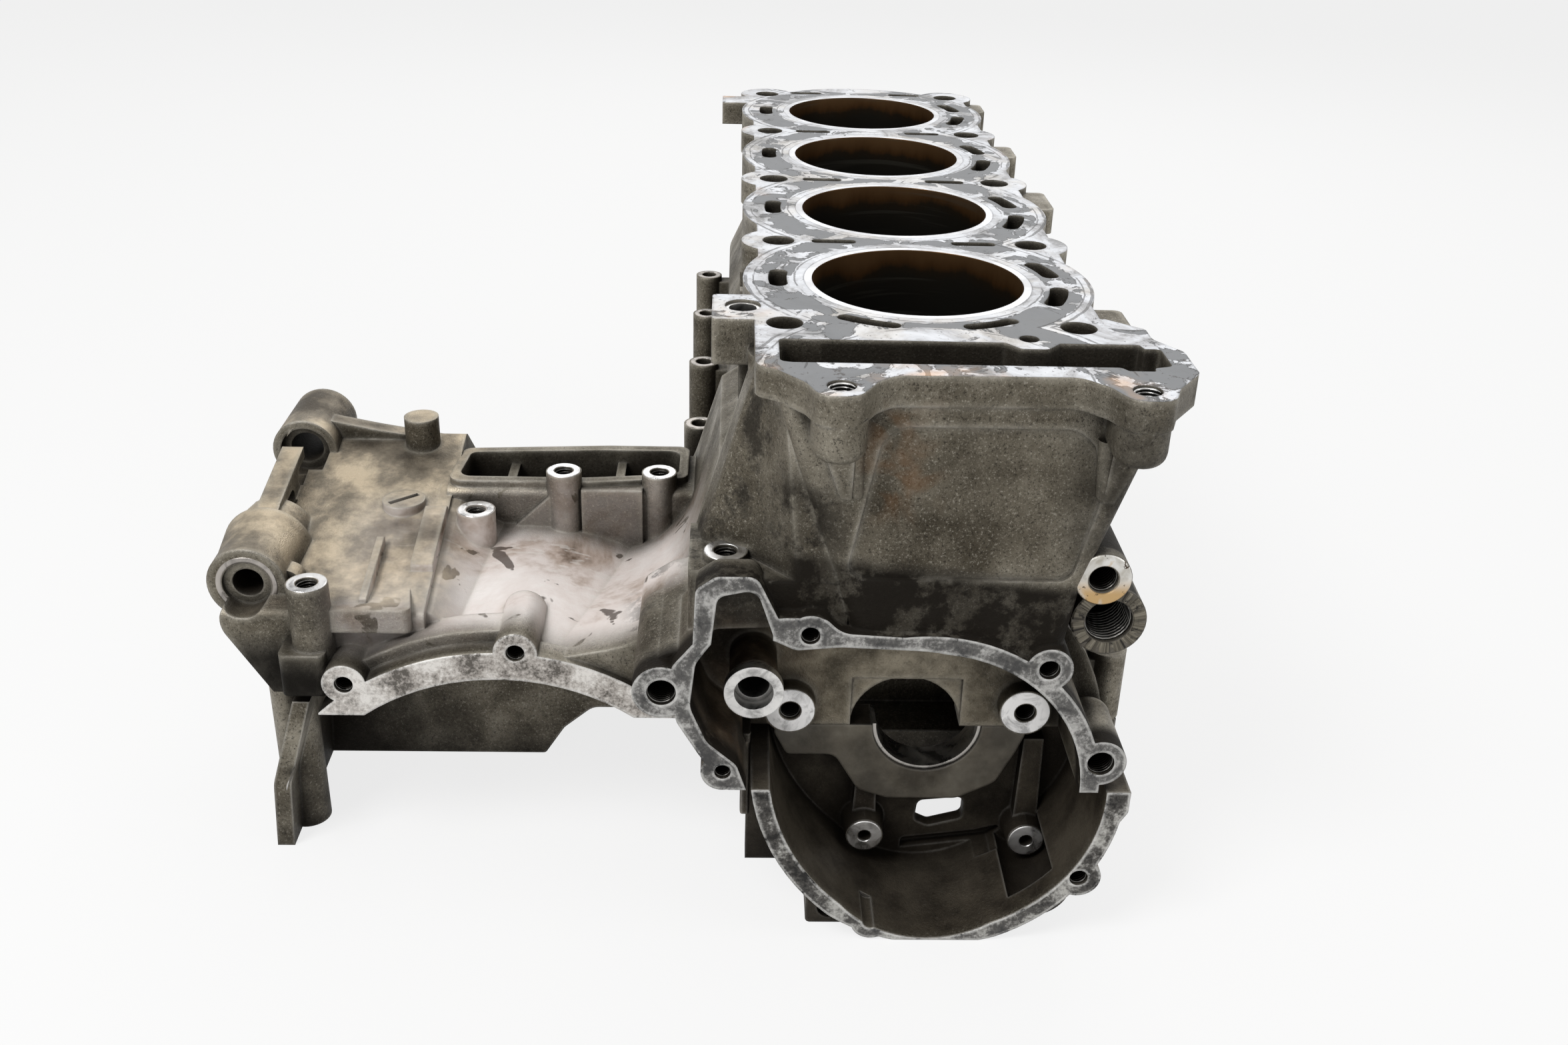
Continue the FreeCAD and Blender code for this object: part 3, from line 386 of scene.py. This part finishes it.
def worn_flange(board, tones):
    """Once-milled flange: oily specks, with bright scratches and rubbed edges."""
    dark, middle, light = tones
    speck = board.noise(520, 5, 0.75)
    patch = board.noise(60, 5, 0.65)
    tone = board.plus(board.times(speck, 0.38), board.times(patch, 0.62))
    colour = board.colours(tone, ((0.42, dark), (0.50, middle), (0.60, light)))
    scuffs = board.times(board.fade(speck, 0.56, 0.64), board.fade(patch, 0.46, 0.58))
    colour = board.blend(board.times(scuffs, 0.7), colour, light)
    rubbed = board.times(board.edge_wear_and_highlight(0.0022), board.fade(tone, 0.40, 0.50))
    return board.blend(board.times(rubbed, 0.85), colour, RUBBED_EDGE)


def disc_face(board, centre, radius):
    """1 on a flat round face about the centre that looks forward along -Y."""
    x, y, z = centre
    across = board.minus(board.x, x)
    upward = board.minus(board.z, z)
    square = board.plus(board.times(across, across), board.times(upward, upward))
    return board.times(board.front_face(y), board.below(square, radius * radius))


def rubbed_barrel_and_sheen(board):
    """Smooth pinkish rubbed metal, its pale tones partly a painted sheen, with fine scratches and spots of
    oil.
    """
    colour = board.colours(board.noise(24, 5, 0.65, 0.4), RUBBED_AND_SHEEN)
    scratch = board.fade(board.noise(420, 2, 0.5, vector=board.stretched(0.30, 1.0, 0.30)), 0.58, 0.68)
    colour = board.blend(board.times(scratch, 0.45), colour, SCRATCH)
    oil = board.fade(board.noise(60, 3, 0.6, 0.5), 0.635, 0.665)
    return board.blend(board.times(oil, 0.85), colour, OIL_SPOT)


def upper_shade_and_soot(board, barrel, pocket, mottle):
    """Where soot and painted shade lie on the upper casting, and the painted shade under the clutch room
    and down its outer side.
    """
    # painted shade in corners and hollows with some soot, kept lighter on the barrel and in the pocket
    spared = board.most(board.times(barrel, 0.6), board.times(pocket, 0.55))
    soot_and_shade = board.times(shade_and_soot_amount(board, 0.010, 0.050), board.minus(1.0, spared))
    # darker patches that follow noise on the low front wall, the right ear, the wall's left corner and the
    # left flank; soot in the chain tunnel and oil at the barrel's end
    smear = board.noise(60, 5, 0.7)
    slope = board.plus(board.z, board.times(board.x, 0.12))
    low_wall = board.times(board.fade(slope, 0.094, 0.086), board.fade(board.y, 0.016, 0.006))
    soot_and_shade = gather(board, soot_and_shade, low_wall, smear, 0.38, 0.50, 0.72, 0.98)
    soot_and_shade = gather(board, soot_and_shade, board.box_zone(*RIGHT_EAR), smear, 0.38, 0.60, 0.45, 0.75)
    soot_and_shade = gather(board, soot_and_shade, board.box_zone(*WALL_CORNER), smear, 0.40, 0.56, 0.2, 0.95)
    flank = board.times(board.box_zone(*LEFT_FLANK), 0.8)
    soot_and_shade = gather(board, soot_and_shade, flank, board.noise(38, 5, 0.7), 0.50, 0.62)
    # painted shade under the clutch room and down the outer side below the lugs
    outer_side = board.times(board.fade(board.x, -0.196, -0.206), board.fade(board.z, 0.030, 0.014))
    shade_underneath = board.most(board.box_zone(*CLUTCH_ROOM), outer_side)
    shade_underneath = board.times(shade_underneath, board.fade(mottle, 0.40, 0.62, 0.97, 0.82))
    soot_and_shade = board.most(soot_and_shade, shade_underneath)
    soot_and_shade = board.most(soot_and_shade, board.times(board.box_zone(*CHAIN_TUNNEL), 0.86))
    soot_and_shade = gather(board, soot_and_shade, board.box_zone(*BARREL_END), board.noise(50, 5, 0.7), 0.50, 0.60)
    return soot_and_shade, shade_underneath


def upper_finish():
    """Upper casting: oily cast skin, rubbed barrel partly painted sheen, tan roof, brown pocket and milled
    faces, with soot and painted shade in hollows and painted edge highlights.
    """
    board = Board("upper_casting")
    cast, cast_rough, grain, mottle = cast_ground(board)
    bright, marks = machined_ground(board)

    barrel = board.box_zone(*BARREL)
    # rubbed barrel, its brightness partly a painted sheen
    cast = board.blend(board.times(barrel, 0.95), cast, rubbed_barrel_and_sheen(board))
    roof = board.times(board.box_zone(*GEARBOX_ROOF), board.fade(board.nz, 0.1, 0.7))
    cast = board.blend(board.times(roof, 0.85), cast, board.colours(board.noise(30, 5, 0.65), TAN))
    weep = board.times(board.box_zone(*RUSTY_PANEL), board.fade(board.noise(45, 3, 0.5, 1.2), 0.44, 0.62))
    cast = board.blend(board.times(weep, 0.65), cast, RUST_RUN)
    pocket = board.box_zone(*POCKET)
    cast = board.blend(board.times(pocket, 0.85), cast, board.colours(board.noise(40, 4, 0.6), UMBER))
    web = board.box_zone(*FRONT_WEB)
    cast = board.blend(board.times(web, 0.6), cast, board.colours(mottle, WEB_BROWN))

    # soot and painted shade over the whole skin, near black painted shade under the clutch room, then
    # painted highlights on the edges that they leave open, the sharp ones partly wear
    soot_and_shade, shade_underneath = upper_shade_and_soot(board, barrel, pocket, mottle)
    clear_of_shade_and_soot = board.minus(1.0, soot_and_shade)
    cast = board.blend(soot_and_shade, cast, GRIME_AND_SHADE)
    # painted shade, near black, under the clutch room and the lugs
    cast = board.blend(board.times(shade_underneath, 0.6), cast, UNDERSIDE_SHADE)
    # painted highlight on broad edges, hollow and raised alike
    soft_edge = board.times(board.edge_wear_and_highlight(0.0045), clear_of_shade_and_soot)
    cast = board.blend(board.times(soft_edge, 0.42), cast, SOFT_EDGE_HIGHLIGHT)
    # sharp edges: rubbed wear with painted highlight
    sharp_edge = board.times(board.times(board.edge_wear_and_highlight(0.0016), clear_of_shade_and_soot), board.fade(mottle, 0.40, 0.60))
    cast = board.blend(board.times(sharp_edge, 0.35), cast, SHARP_EDGE_WEAR_AND_HIGHLIGHT)

    # machined faces
    deck = board.level_face(2, DECK_Z, 1)
    cover = board.times(board.front_face(COVER_Y), board.below(board.z, COVER_TOP_Z))
    clutch = board.times(board.front_face(CLUTCH_Y), board.below(board.x, -0.070))
    machined = board.most(deck, cover, clutch)
    deck_colour, film = deck_face(board, bright)
    colour = board.blend(deck, cast, deck_colour)
    colour = board.blend(cover, colour, worn_flange(board, UPPER_COVER_TONES))
    colour = board.blend(clutch, colour, worn_flange(board, UPPER_CLUTCH_TONES))
    collar = disc_face(board, [value * MM for value in COLLAR], 0.014)
    colour = board.blend(board.times(collar, 0.5), colour, COLLAR_SHADE)

    smeared = board.times(deck, film)
    cast_metal = board.times(board.times(clear_of_shade_and_soot, 0.75), board.minus(1.0, board.times(barrel, 0.85)))
    metal = board.mix_value(deck, cast_metal, board.mix_value(smeared, 0.90, 0.35))
    rough = board.mix_value(machined, board.mix_value(soot_and_shade, cast_rough, 0.62), 0.48)
    rough = board.mix_value(smeared, rough, 0.70)
    gloss = board.most(machined, board.plus(board.times(clear_of_shade_and_soot, 0.40), 0.06))
    wave = board.mix_value(machined, 0.22, 0.0)
    grain_depth = board.mix_value(machined, board.mix_value(barrel, 0.95, 0.35), 0.06)
    normal = board.bumps((mottle, wave, 0.0010), (grain, grain_depth, 0.00045), (marks, 0.04, 0.0001),
                         rounding=0.0014)
    return board.finish(colour, metal, rough, normal, gloss)


def lower_finish():
    """Lower casting: oily cast skin, dark bowl, worn flanges and a tan bearing saddle, with soot and
    painted shade in hollows and edges lightened by wear and painted highlight.
    """
    board = Board("lower_casting")
    cast, cast_rough, grain, mottle = cast_ground(board)
    bowl = board.box_zone(*BOWL)
    cast = board.blend(board.times(bowl, 0.78), cast, board.colours(mottle, BOWL_BROWN))
    # painted shade in corners and hollows, with some soot
    soot_and_shade = shade_and_soot_amount(board, 0.014, 0.070)
    clear_of_shade_and_soot = board.minus(1.0, soot_and_shade)
    cast = board.blend(soot_and_shade, cast, GRIME_AND_SHADE)
    # edges: wear with painted highlight
    edge = board.times(board.edge_wear_and_highlight(0.0016), clear_of_shade_and_soot)
    cast = board.blend(board.times(edge, 0.5), cast, LOWER_EDGE_WEAR_AND_HIGHLIGHT)

    cover = board.front_face(COVER_Y)
    clutch = board.times(board.front_face(CLUTCH_Y), board.below(board.x, -0.100))
    saddle = board.times(board.front_face(SADDLE_Y, 0.0006),
                         board.fade(board.noise(40, 4, 0.6), 0.2, 0.5, 0.6, 1.0))
    machined = board.most(cover, clutch, saddle)
    colour = board.blend(cover, cast, worn_flange(board, LOWER_COVER_TONES))
    colour = board.blend(clutch, colour, worn_flange(board, LOWER_CLUTCH_TONES))
    tan_face = board.colours(board.noise(30, 5, 0.6), SADDLE_TAN)
    colour = board.blend(board.times(saddle, 0.85), colour, tan_face)

    rough = board.mix_value(machined, board.mix_value(soot_and_shade, cast_rough, 0.62), 0.42)
    gloss = board.most(machined, board.plus(board.times(clear_of_shade_and_soot, 0.40), 0.06))
    grain_depth = board.mix_value(machined, 0.8, 0.08)
    normal = board.bumps((mottle, 0.2, 0.0010), (grain, grain_depth, 0.00045), rounding=0.0012)
    return board.finish(colour, board.times(clear_of_shade_and_soot, 0.72), rough, normal, gloss)


def liner_finish():
    """Iron liner: bright top edge, burnt brown band, then dark honed wall."""
    board = Board("liner_iron")
    top = board.level_face(2, DECK_Z, 1)
    drips = board.noise(40, 5, 0.65, vector=board.stretched(1.0, 1.0, 0.4))
    height = board.plus(board.z, board.times(board.minus(drips, 0.5), 0.016))
    wall = board.colours(board.fade(height, 0.140, 0.163), BORE_WALL)
    rings = board.fade(board.noise(170, 3, 0.6, vector=board.stretched(0.05, 0.05, 1.0)), 0.54, 0.64)
    wall = board.blend(board.times(rings, 0.30), wall, RING_LINE)
    hone = board.noise(1400, 2, 0.5, vector=board.stretched(1.0, 1.0, 0.25))
    rim = board.colours(board.noise(60, 4, 0.6), BORE_RIM)
    normal = board.bumps((hone, 0.12, 0.0001), rounding=0.0006)
    return board.finish(board.blend(top, wall, rim), 0.8, 0.34, normal)


def steel_finish(name, tint, corner_shade):
    """Turned steel with faint rings and a film of old oil, darkened in its corners by painted shade."""
    board = Board(name)
    film = board.noise(120, 4, 0.6, 0.8)
    shade = tuple(part * 0.45 for part in tint)
    shine = tuple(min(1.0, part * 1.12) for part in tint)
    colour = board.colours(film, ((0.36, shade), (0.52, tint), (0.7, shine)))
    # painted shade in corners, scaled by the third argument
    soot_and_shade = board.times(board.fade(board.shelter(0.012), 0.75, 0.25), corner_shade)
    colour = board.blend(soot_and_shade, colour, GRIME_AND_SHADE)
    normal = board.bumps((board.noise(1800, 1, 0.5), 0.08, 0.0001), rounding=0.0004)
    return board.finish(colour, 0.95, board.fade(film, 0.3, 0.7, 0.24, 0.42), normal)


def stained_finish():
    """Turned face of the oil union with a rusty yellow run at its foot."""
    board = Board("stained_ring")
    film = board.noise(90, 4, 0.6, 0.8)
    colour = board.colours(film, UNION_FACE)
    low = board.fade(board.z, 0.089, 0.081)
    run = board.most(board.times(low, board.fade(film, 0.36, 0.56)),
                     board.times(board.fade(film, 0.56, 0.66), 0.6))
    colour = board.blend(board.times(run, 0.85), colour, UNION_RUST)
    colour = board.blend(board.fade(board.noise(300, 4, 0.7), 0.62, 0.68), colour, UNION_SPOT)
    return board.finish(colour, 0.7, 0.4, board.bumps((film, 0.1, 0.0004), rounding=0.0005))


def radial_finish(name, x, z):
    """Dark turned face with radial scratches about the axis through (x, z)."""
    board = Board(name)
    angle = board.sum_up("ARCTAN2", board.minus(board.z, z), board.minus(board.x, x))
    spoke = board.add("ShaderNodeCombineXYZ")
    board.feed(spoke.inputs[0], angle)
    streak = board.noise(5.5, 3, 0.7, vector=spoke.outputs[0])
    colour = board.colours(streak, COLLAR_SPOKES)
    colour = board.blend(board.fade(board.noise(220, 4, 0.7), 0.56, 0.66), colour, GRIME_AND_SHADE)
    return board.finish(colour, 0.5, 0.5, board.bumps((streak, 0.3, 0.0006), rounding=0.0005))


def dress(node, material):
    """The CAD node keeps its mesh and takes this material in every slot."""
    node.data.materials.clear()
    node.data.materials.append(material)


upper_metal = upper_finish()
lower_metal = lower_finish()
liner_iron = liner_finish()
bright_steel = steel_finish("bright_steel", (0.72, 0.71, 0.69), 0.9)
shell_steel = steel_finish("shell_steel", (0.42, 0.40, 0.37), 0.6)
milled = steel_finish("milled_aluminium", (0.76, 0.75, 0.74), 0.12)
dull_milled = steel_finish("dull_milled_ring", (0.42, 0.39, 0.36), 0.7)
oily_thread = steel_finish("oily_thread", (0.30, 0.29, 0.27), 1.0)
rusty_ring = stained_finish()
collar_face = radial_finish("collar_face", COLLAR[0] * MM, COLLAR[2] * MM)

dress(nodes["upper_case"], upper_metal)
dress(nodes["lower_case"], lower_metal)
for name, node in nodes.items():
    if name.startswith("cylinder_liner"):
        dress(node, liner_iron)
    elif name.startswith("main_bearing_shell"):
        dress(node, shell_steel)
    elif name in ("idler_sleeve", "deck_dowel", "wire_thread_inserts"):
        dress(node, bright_steel)


# ---- fitted detail, in millimetres -----------------------------------------------
def quads(rows, columns, first):
    """Corner numbers of the quads of a grid that is closed along its columns."""
    number = first + np.arange(rows * columns).reshape(rows, columns)
    number = np.hstack([number, number[:, :1]])
    corners = [number[:-1, :-1], number[1:, :-1], number[1:, 1:], number[:-1, 1:]]
    return np.stack(corners, -1).reshape(-1, 4)


def tubes(name, grids, material, smooth=True):
    """One piece from several tubes. Each grid holds rings of points, and each ring is closed."""
    points, faces, count = [], [], 0
    for grid in grids:
        rows, columns = grid.shape[:2]
        points.append(grid.reshape(-1, 3))
        faces.append(quads(rows, columns, count))
        count += rows * columns
    mesh = bpy.data.meshes.new(name)
    mesh.from_pydata((np.concatenate(points) * MM).tolist(), [], np.concatenate(faces).tolist())
    mesh.validate()
    shape = bmesh.new()
    shape.from_mesh(mesh)
    bmesh.ops.remove_doubles(shape, verts=shape.verts, dist=1e-7)
    bmesh.ops.recalc_face_normals(shape, faces=shape.faces)
    shape.to_mesh(mesh)
    shape.free()
    mesh.materials.append(material)
    if smooth:
        mesh.shade_smooth()
    piece = bpy.data.objects.new(name, mesh)
    bpy.context.scene.collection.objects.link(piece)
    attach(piece, "root")
    return piece


def around(count):
    """Angles of a full turn, without its end."""
    return np.linspace(0, 2 * np.pi, count, endpoint=False)


def stand(across, other, height, place, turn):
    """Puts (across, other, height above the face) at a face that looks up, or forward along -Y."""
    x, y, z = place
    if turn == "up":
        return np.stack([x + across, y + other, z + height], -1)
    return np.stack([x + across, y - height, z + other], -1)


def spot_ring(place, turn, inner, outer, proud=0.22, notches=0):
    """Milled ring round a hole. The profile (radius, height) rises from the hole's rim by a
    small chamfer, runs flat, falls over the outer edge and closes inside the metal. With
    notches the height dips by a narrow cosine pulse at that many angles, on the outer half."""
    angle = around(96 if notches else 48)[:, None]
    radius = np.array([inner, inner + 0.35, (inner + outer) / 2, outer - 0.4, outer, outer, inner])[None]
    height = np.array([-0.3, proud, proud, proud, proud - 0.35, -0.8, -0.8])[None] + 0 * angle
    if notches:
        pulse = np.clip(np.cos(notches * angle), 0.55, 1.0) - 0.55
        height = height - 2.2 * pulse * np.array([0, 0, 0.5, 1, 1, 0, 0])[None]
    grid = stand(radius * np.cos(angle), radius * np.sin(angle), height, place, turn)
    return np.concatenate([grid, grid[:1]])


def thread(place, turn, radius, depth, pitch=1.25, tooth=0.62):
    """Screw thread inside a hole: a three-cornered ridge carried down a helix. Angle t runs
    over depth / pitch turns, and the ridge dies out into the wall at both ends."""
    turns = depth / pitch
    t = np.linspace(0, 1, int(22 * turns))[:, None]
    swell = np.clip(np.minimum(t, 1 - t) * turns * 2.5, 0, 1)
    angle = 2 * np.pi * turns * t
    crest = np.array([0, 1, 0])[None]
    along = np.array([-0.44, 0, 0.44])[None] * pitch * swell
    r = radius + 0.04 - tooth * crest * swell
    return stand(r * np.cos(angle), r * np.sin(angle), -0.9 - depth * t + along, place, turn)


def wire_coil(place, turn, radius, depth, pitch=1.25, wire=0.50):
    """Coiled wire insert: a round wire of that radius along a helix, closed to a point at both ends."""
    turns = depth / pitch
    t = np.linspace(0, 1, int(26 * turns))[:, None]
    swell = np.clip(np.minimum(t, 1 - t) * turns * 8, 0, 1)
    angle = 2 * np.pi * turns * t
    round_angle = around(8)[None]
    r = radius + wire * swell * np.cos(round_angle)
    height = wire * swell * np.sin(round_angle) - 0.8 - depth * t
    return stand(r * np.cos(angle), r * np.sin(angle), height, place, turn)


def finger(top, foot):
    """Rounded rib on the tunnel wall: a ball-ended rod of radius r(t) = 3.6 - 1.0 t that leans
    from the ear's boss (t = 0) to its foot (t = 1), and sinks into the wall by sin(pi t / 2)."""
    t = np.linspace(0, 1, 26)[:, None]
    angle = around(24)[None]
    cap = np.sqrt(np.clip(1 - np.clip((t - 0.86) / 0.14, 0, 1) ** 2, 0, 1))
    radius = (3.6 - 1.0 * t) * cap
    x = top[0] + (foot[0] - top[0]) * t + radius * np.cos(angle)
    y = TUNNEL_WALL_Y - 0.6 + 1.4 * np.sin(np.pi * t / 2) - radius * np.sin(angle)
    z = top[1] + (foot[1] - top[1]) * t + 0 * angle
    return np.stack([x, y, z], -1)


def corner_strip(x_low, x_high, y_low, y_high, z_low, z_high):
    """Rounded upright strip: a superellipse section |u|^5 + |v|^5 = 1 carried from z_low to z_high."""
    angle = around(40)[None]
    z = np.array([z_low, z_low, z_high, z_high])[:, None] + 0 * angle
    scale = np.array([0.0, 1.0, 1.0, 0.0])[:, None]
    u = np.sign(np.cos(angle)) * np.abs(np.cos(angle)) ** 0.4 * scale
    v = np.sign(np.sin(angle)) * np.abs(np.sin(angle)) ** 0.4 * scale
    x = (x_low + x_high) / 2 + (x_high - x_low) / 2 * u
    y = (y_low + y_high) / 2 + (y_high - y_low) / 2 * v
    return np.stack([x, y, z], -1)


rings = [spot_ring((x, y, top), "up", r * PILLAR_HOLE + 0.1, r - 0.2) for x, y, top, r in PILLARS]
rings += [spot_ring(place, "front", 4.1, 9.8) for place in WEB_BOSSES]
rings += [spot_ring(place, "front", 2.6, 7.3) for place in BOWL_BOSSES]
tubes("milled_boss_rings", rings, milled, smooth=False)
tubes("flank_bolt_rings", [spot_ring((-84, y, 60), "up", 4.1, 7.0, 0.15) for y in FLANK_BOLTS],
      dull_milled, smooth=False)
tubes("lug_bush_rings", [spot_ring(LUG_BUSH, "front", 9.6, 12.2, 0.2)], dull_milled)
tubes("ear_ribs", [finger(top, foot) for top, foot in EAR_RIBS], upper_metal)
tubes("union_seat_ring", [spot_ring(UNION, "front", 5.3, 9.8, 0.5)], rusty_ring, smooth=False)
tubes("notched_collar_ring", [spot_ring(COLLAR, "front", 8.7, 13.3, 0.4, 14)],
      collar_face, smooth=False)
tubes("pocket_corner_strip", [corner_strip(-64.2, -60.4, 30, 41, -34, 4)],
      lower_metal, smooth=False)

threads = [thread((x, COVER_Y / MM, z), "front", hole, 14) for x, z, hole in COVER_BOLTS]
threads += [thread((x, CLUTCH_Y / MM, z), "front", 3.6, 13) for x, z in CLUTCH_BOLTS]
threads += [thread(UNION, "front", 5.2, 18, 1.5), thread(COLLAR, "front", 8.6, 20, 1.75, 0.8)]
threads += [thread(place, "front", 4, 14) for place in WEB_BOSSES]
threads += [thread(BOWL_BOLT, "front", 3.5, 14)]
threads += [thread((x, y, top), "up", r * PILLAR_HOLE, 16) for x, y, top, r in PILLARS]
tubes("screw_threads", threads, oily_thread)

coils = tubes("thread_insert_coils", [wire_coil(place, "up", 4.35, 14.5) for place in INSERTS],
              bright_steel)
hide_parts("wire_thread_inserts")


# ---- floor, light, camera --------------------------------------------------------
FLOOR_HALF = 3.0
FLOOR_COLOUR = (0.82, 0.82, 0.81, 1.0)
FLOOR_GLOW = 0.80           # share of plain white in the floor that these rays see
DAYLIGHT = 0.44             # strength of the world for all other rays
SEEN_RAYS = ("Is Camera Ray", "Is Glossy Ray", "Is Transmission Ray")
CAMERA_PLACE = (-0.0695, -0.4538, 0.3396)
CAMERA_ANGLES = (0.0396, 0.4681, 0.0318)    # yaw, pitch and roll
CAMERA_LENS = 35.01


def pale_floor():
    """A wide pale floor under the sump face, near white to the lens and in reflections."""
    mesh = bpy.data.meshes.new("floor")
    corners = [(x * FLOOR_HALF, y * FLOOR_HALF, SUMP_Z) for x, y in ((-1, -1), (1, -1), (1, 1), (-1, 1))]
    mesh.from_pydata(corners, [], [(0, 1, 2, 3)])
    floor = bpy.data.objects.new("floor", mesh)
    bpy.context.scene.collection.objects.link(floor)
    board = Board("floor_paper")
    rays = board.add("ShaderNodeLightPath")
    seen = board.most(*(rays.outputs[kind] for kind in SEEN_RAYS))
    paper = board.add("ShaderNodeBsdfDiffuse")
    paper.inputs["Color"].default_value = FLOOR_COLOUR
    glow = board.add("ShaderNodeEmission")
    glow.inputs["Color"].default_value = (1.0, 1.0, 1.0, 1.0)
    glow.inputs["Strength"].default_value = 1.0
    mixed = board.add("ShaderNodeMixShader")
    board.feed(mixed.inputs[0], board.times(seen, FLOOR_GLOW))
    board.feed(mixed.inputs[1], paper.outputs[0])
    board.feed(mixed.inputs[2], glow.outputs[0])
    output = board.add("ShaderNodeOutputMaterial")
    board.feed(output.inputs[0], mixed.outputs[0])
    mesh.materials.append(board.material)


def studio_world():
    """Soft even daylight, white where the lens or a reflection sees it."""
    world = bpy.data.worlds.new("studio")
    bpy.context.scene.world = world
    world.use_nodes = True
    tree = world.node_tree
    tree.nodes.clear()
    rays = tree.nodes.new("ShaderNodeLightPath")
    seen = rays.outputs[SEEN_RAYS[0]]
    for kind in SEEN_RAYS[1:]:
        either = tree.nodes.new("ShaderNodeMath")
        either.operation = "MAXIMUM"
        tree.links.new(seen, either.inputs[0])
        tree.links.new(rays.outputs[kind], either.inputs[1])
        seen = either.outputs[0]
    strength = tree.nodes.new("ShaderNodeMapRange")
    tree.links.new(seen, strength.inputs["Value"])
    strength.inputs["To Min"].default_value = DAYLIGHT
    strength.inputs["To Max"].default_value = 1.0
    background = tree.nodes.new("ShaderNodeBackground")
    tree.links.new(strength.outputs[0], background.inputs["Strength"])
    output = tree.nodes.new("ShaderNodeOutputWorld")
    tree.links.new(background.outputs[0], output.inputs[0])


def soft_lamp(name, place, target, width, height, watts):
    lamp = bpy.data.lights.new(name, "AREA")
    lamp.shape = "RECTANGLE"
    lamp.size = width
    lamp.size_y = height
    lamp.energy = watts
    lamp_object = bpy.data.objects.new(name, lamp)
    lamp_object.location = place
    lamp_object.rotation_euler = (Vector(target) - Vector(place)).to_track_quat("-Z", "Y").to_euler()
    bpy.context.scene.collection.objects.link(lamp_object)


def viewing_camera():
    """Looks along the crank from in front of the chain end, 27 degrees below level."""
    yaw, pitch, roll = CAMERA_ANGLES
    ahead = Vector((sin(yaw) * cos(pitch), cos(yaw) * cos(pitch), -sin(pitch)))
    level = Vector((cos(yaw), -sin(yaw), 0.0))
    down = ahead.cross(level)
    right = level * cos(roll) - down * sin(roll)
    down = level * sin(roll) + down * cos(roll)
    camera = bpy.data.cameras.new("camera")
    camera.sensor_width = 36.0
    camera.lens = CAMERA_LENS
    camera.clip_start = 0.01
    camera_object = bpy.data.objects.new("camera", camera)
    turned = Matrix((right, -down, -ahead)).transposed().to_4x4()
    camera_object.matrix_world = Matrix.Translation(CAMERA_PLACE) @ turned
    bpy.context.scene.collection.objects.link(camera_object)
    bpy.context.scene.camera = camera_object


pale_floor()
studio_world()
soft_lamp("key", (-0.8, -0.6, 1.3), (-0.05, 0.15, 0.05), 0.6, 0.6, 17)
soft_lamp("back", (0.2, 1.5, 1.1), (-0.05, 0.2, 0.05), 1.4, 0.7, 8)
soft_lamp("side", (1.2, -0.3, 0.7), (0.0, 0.1, 0.05), 0.7, 0.9, 4)
viewing_camera()
bpy.context.scene.view_settings.view_transform = "Standard"
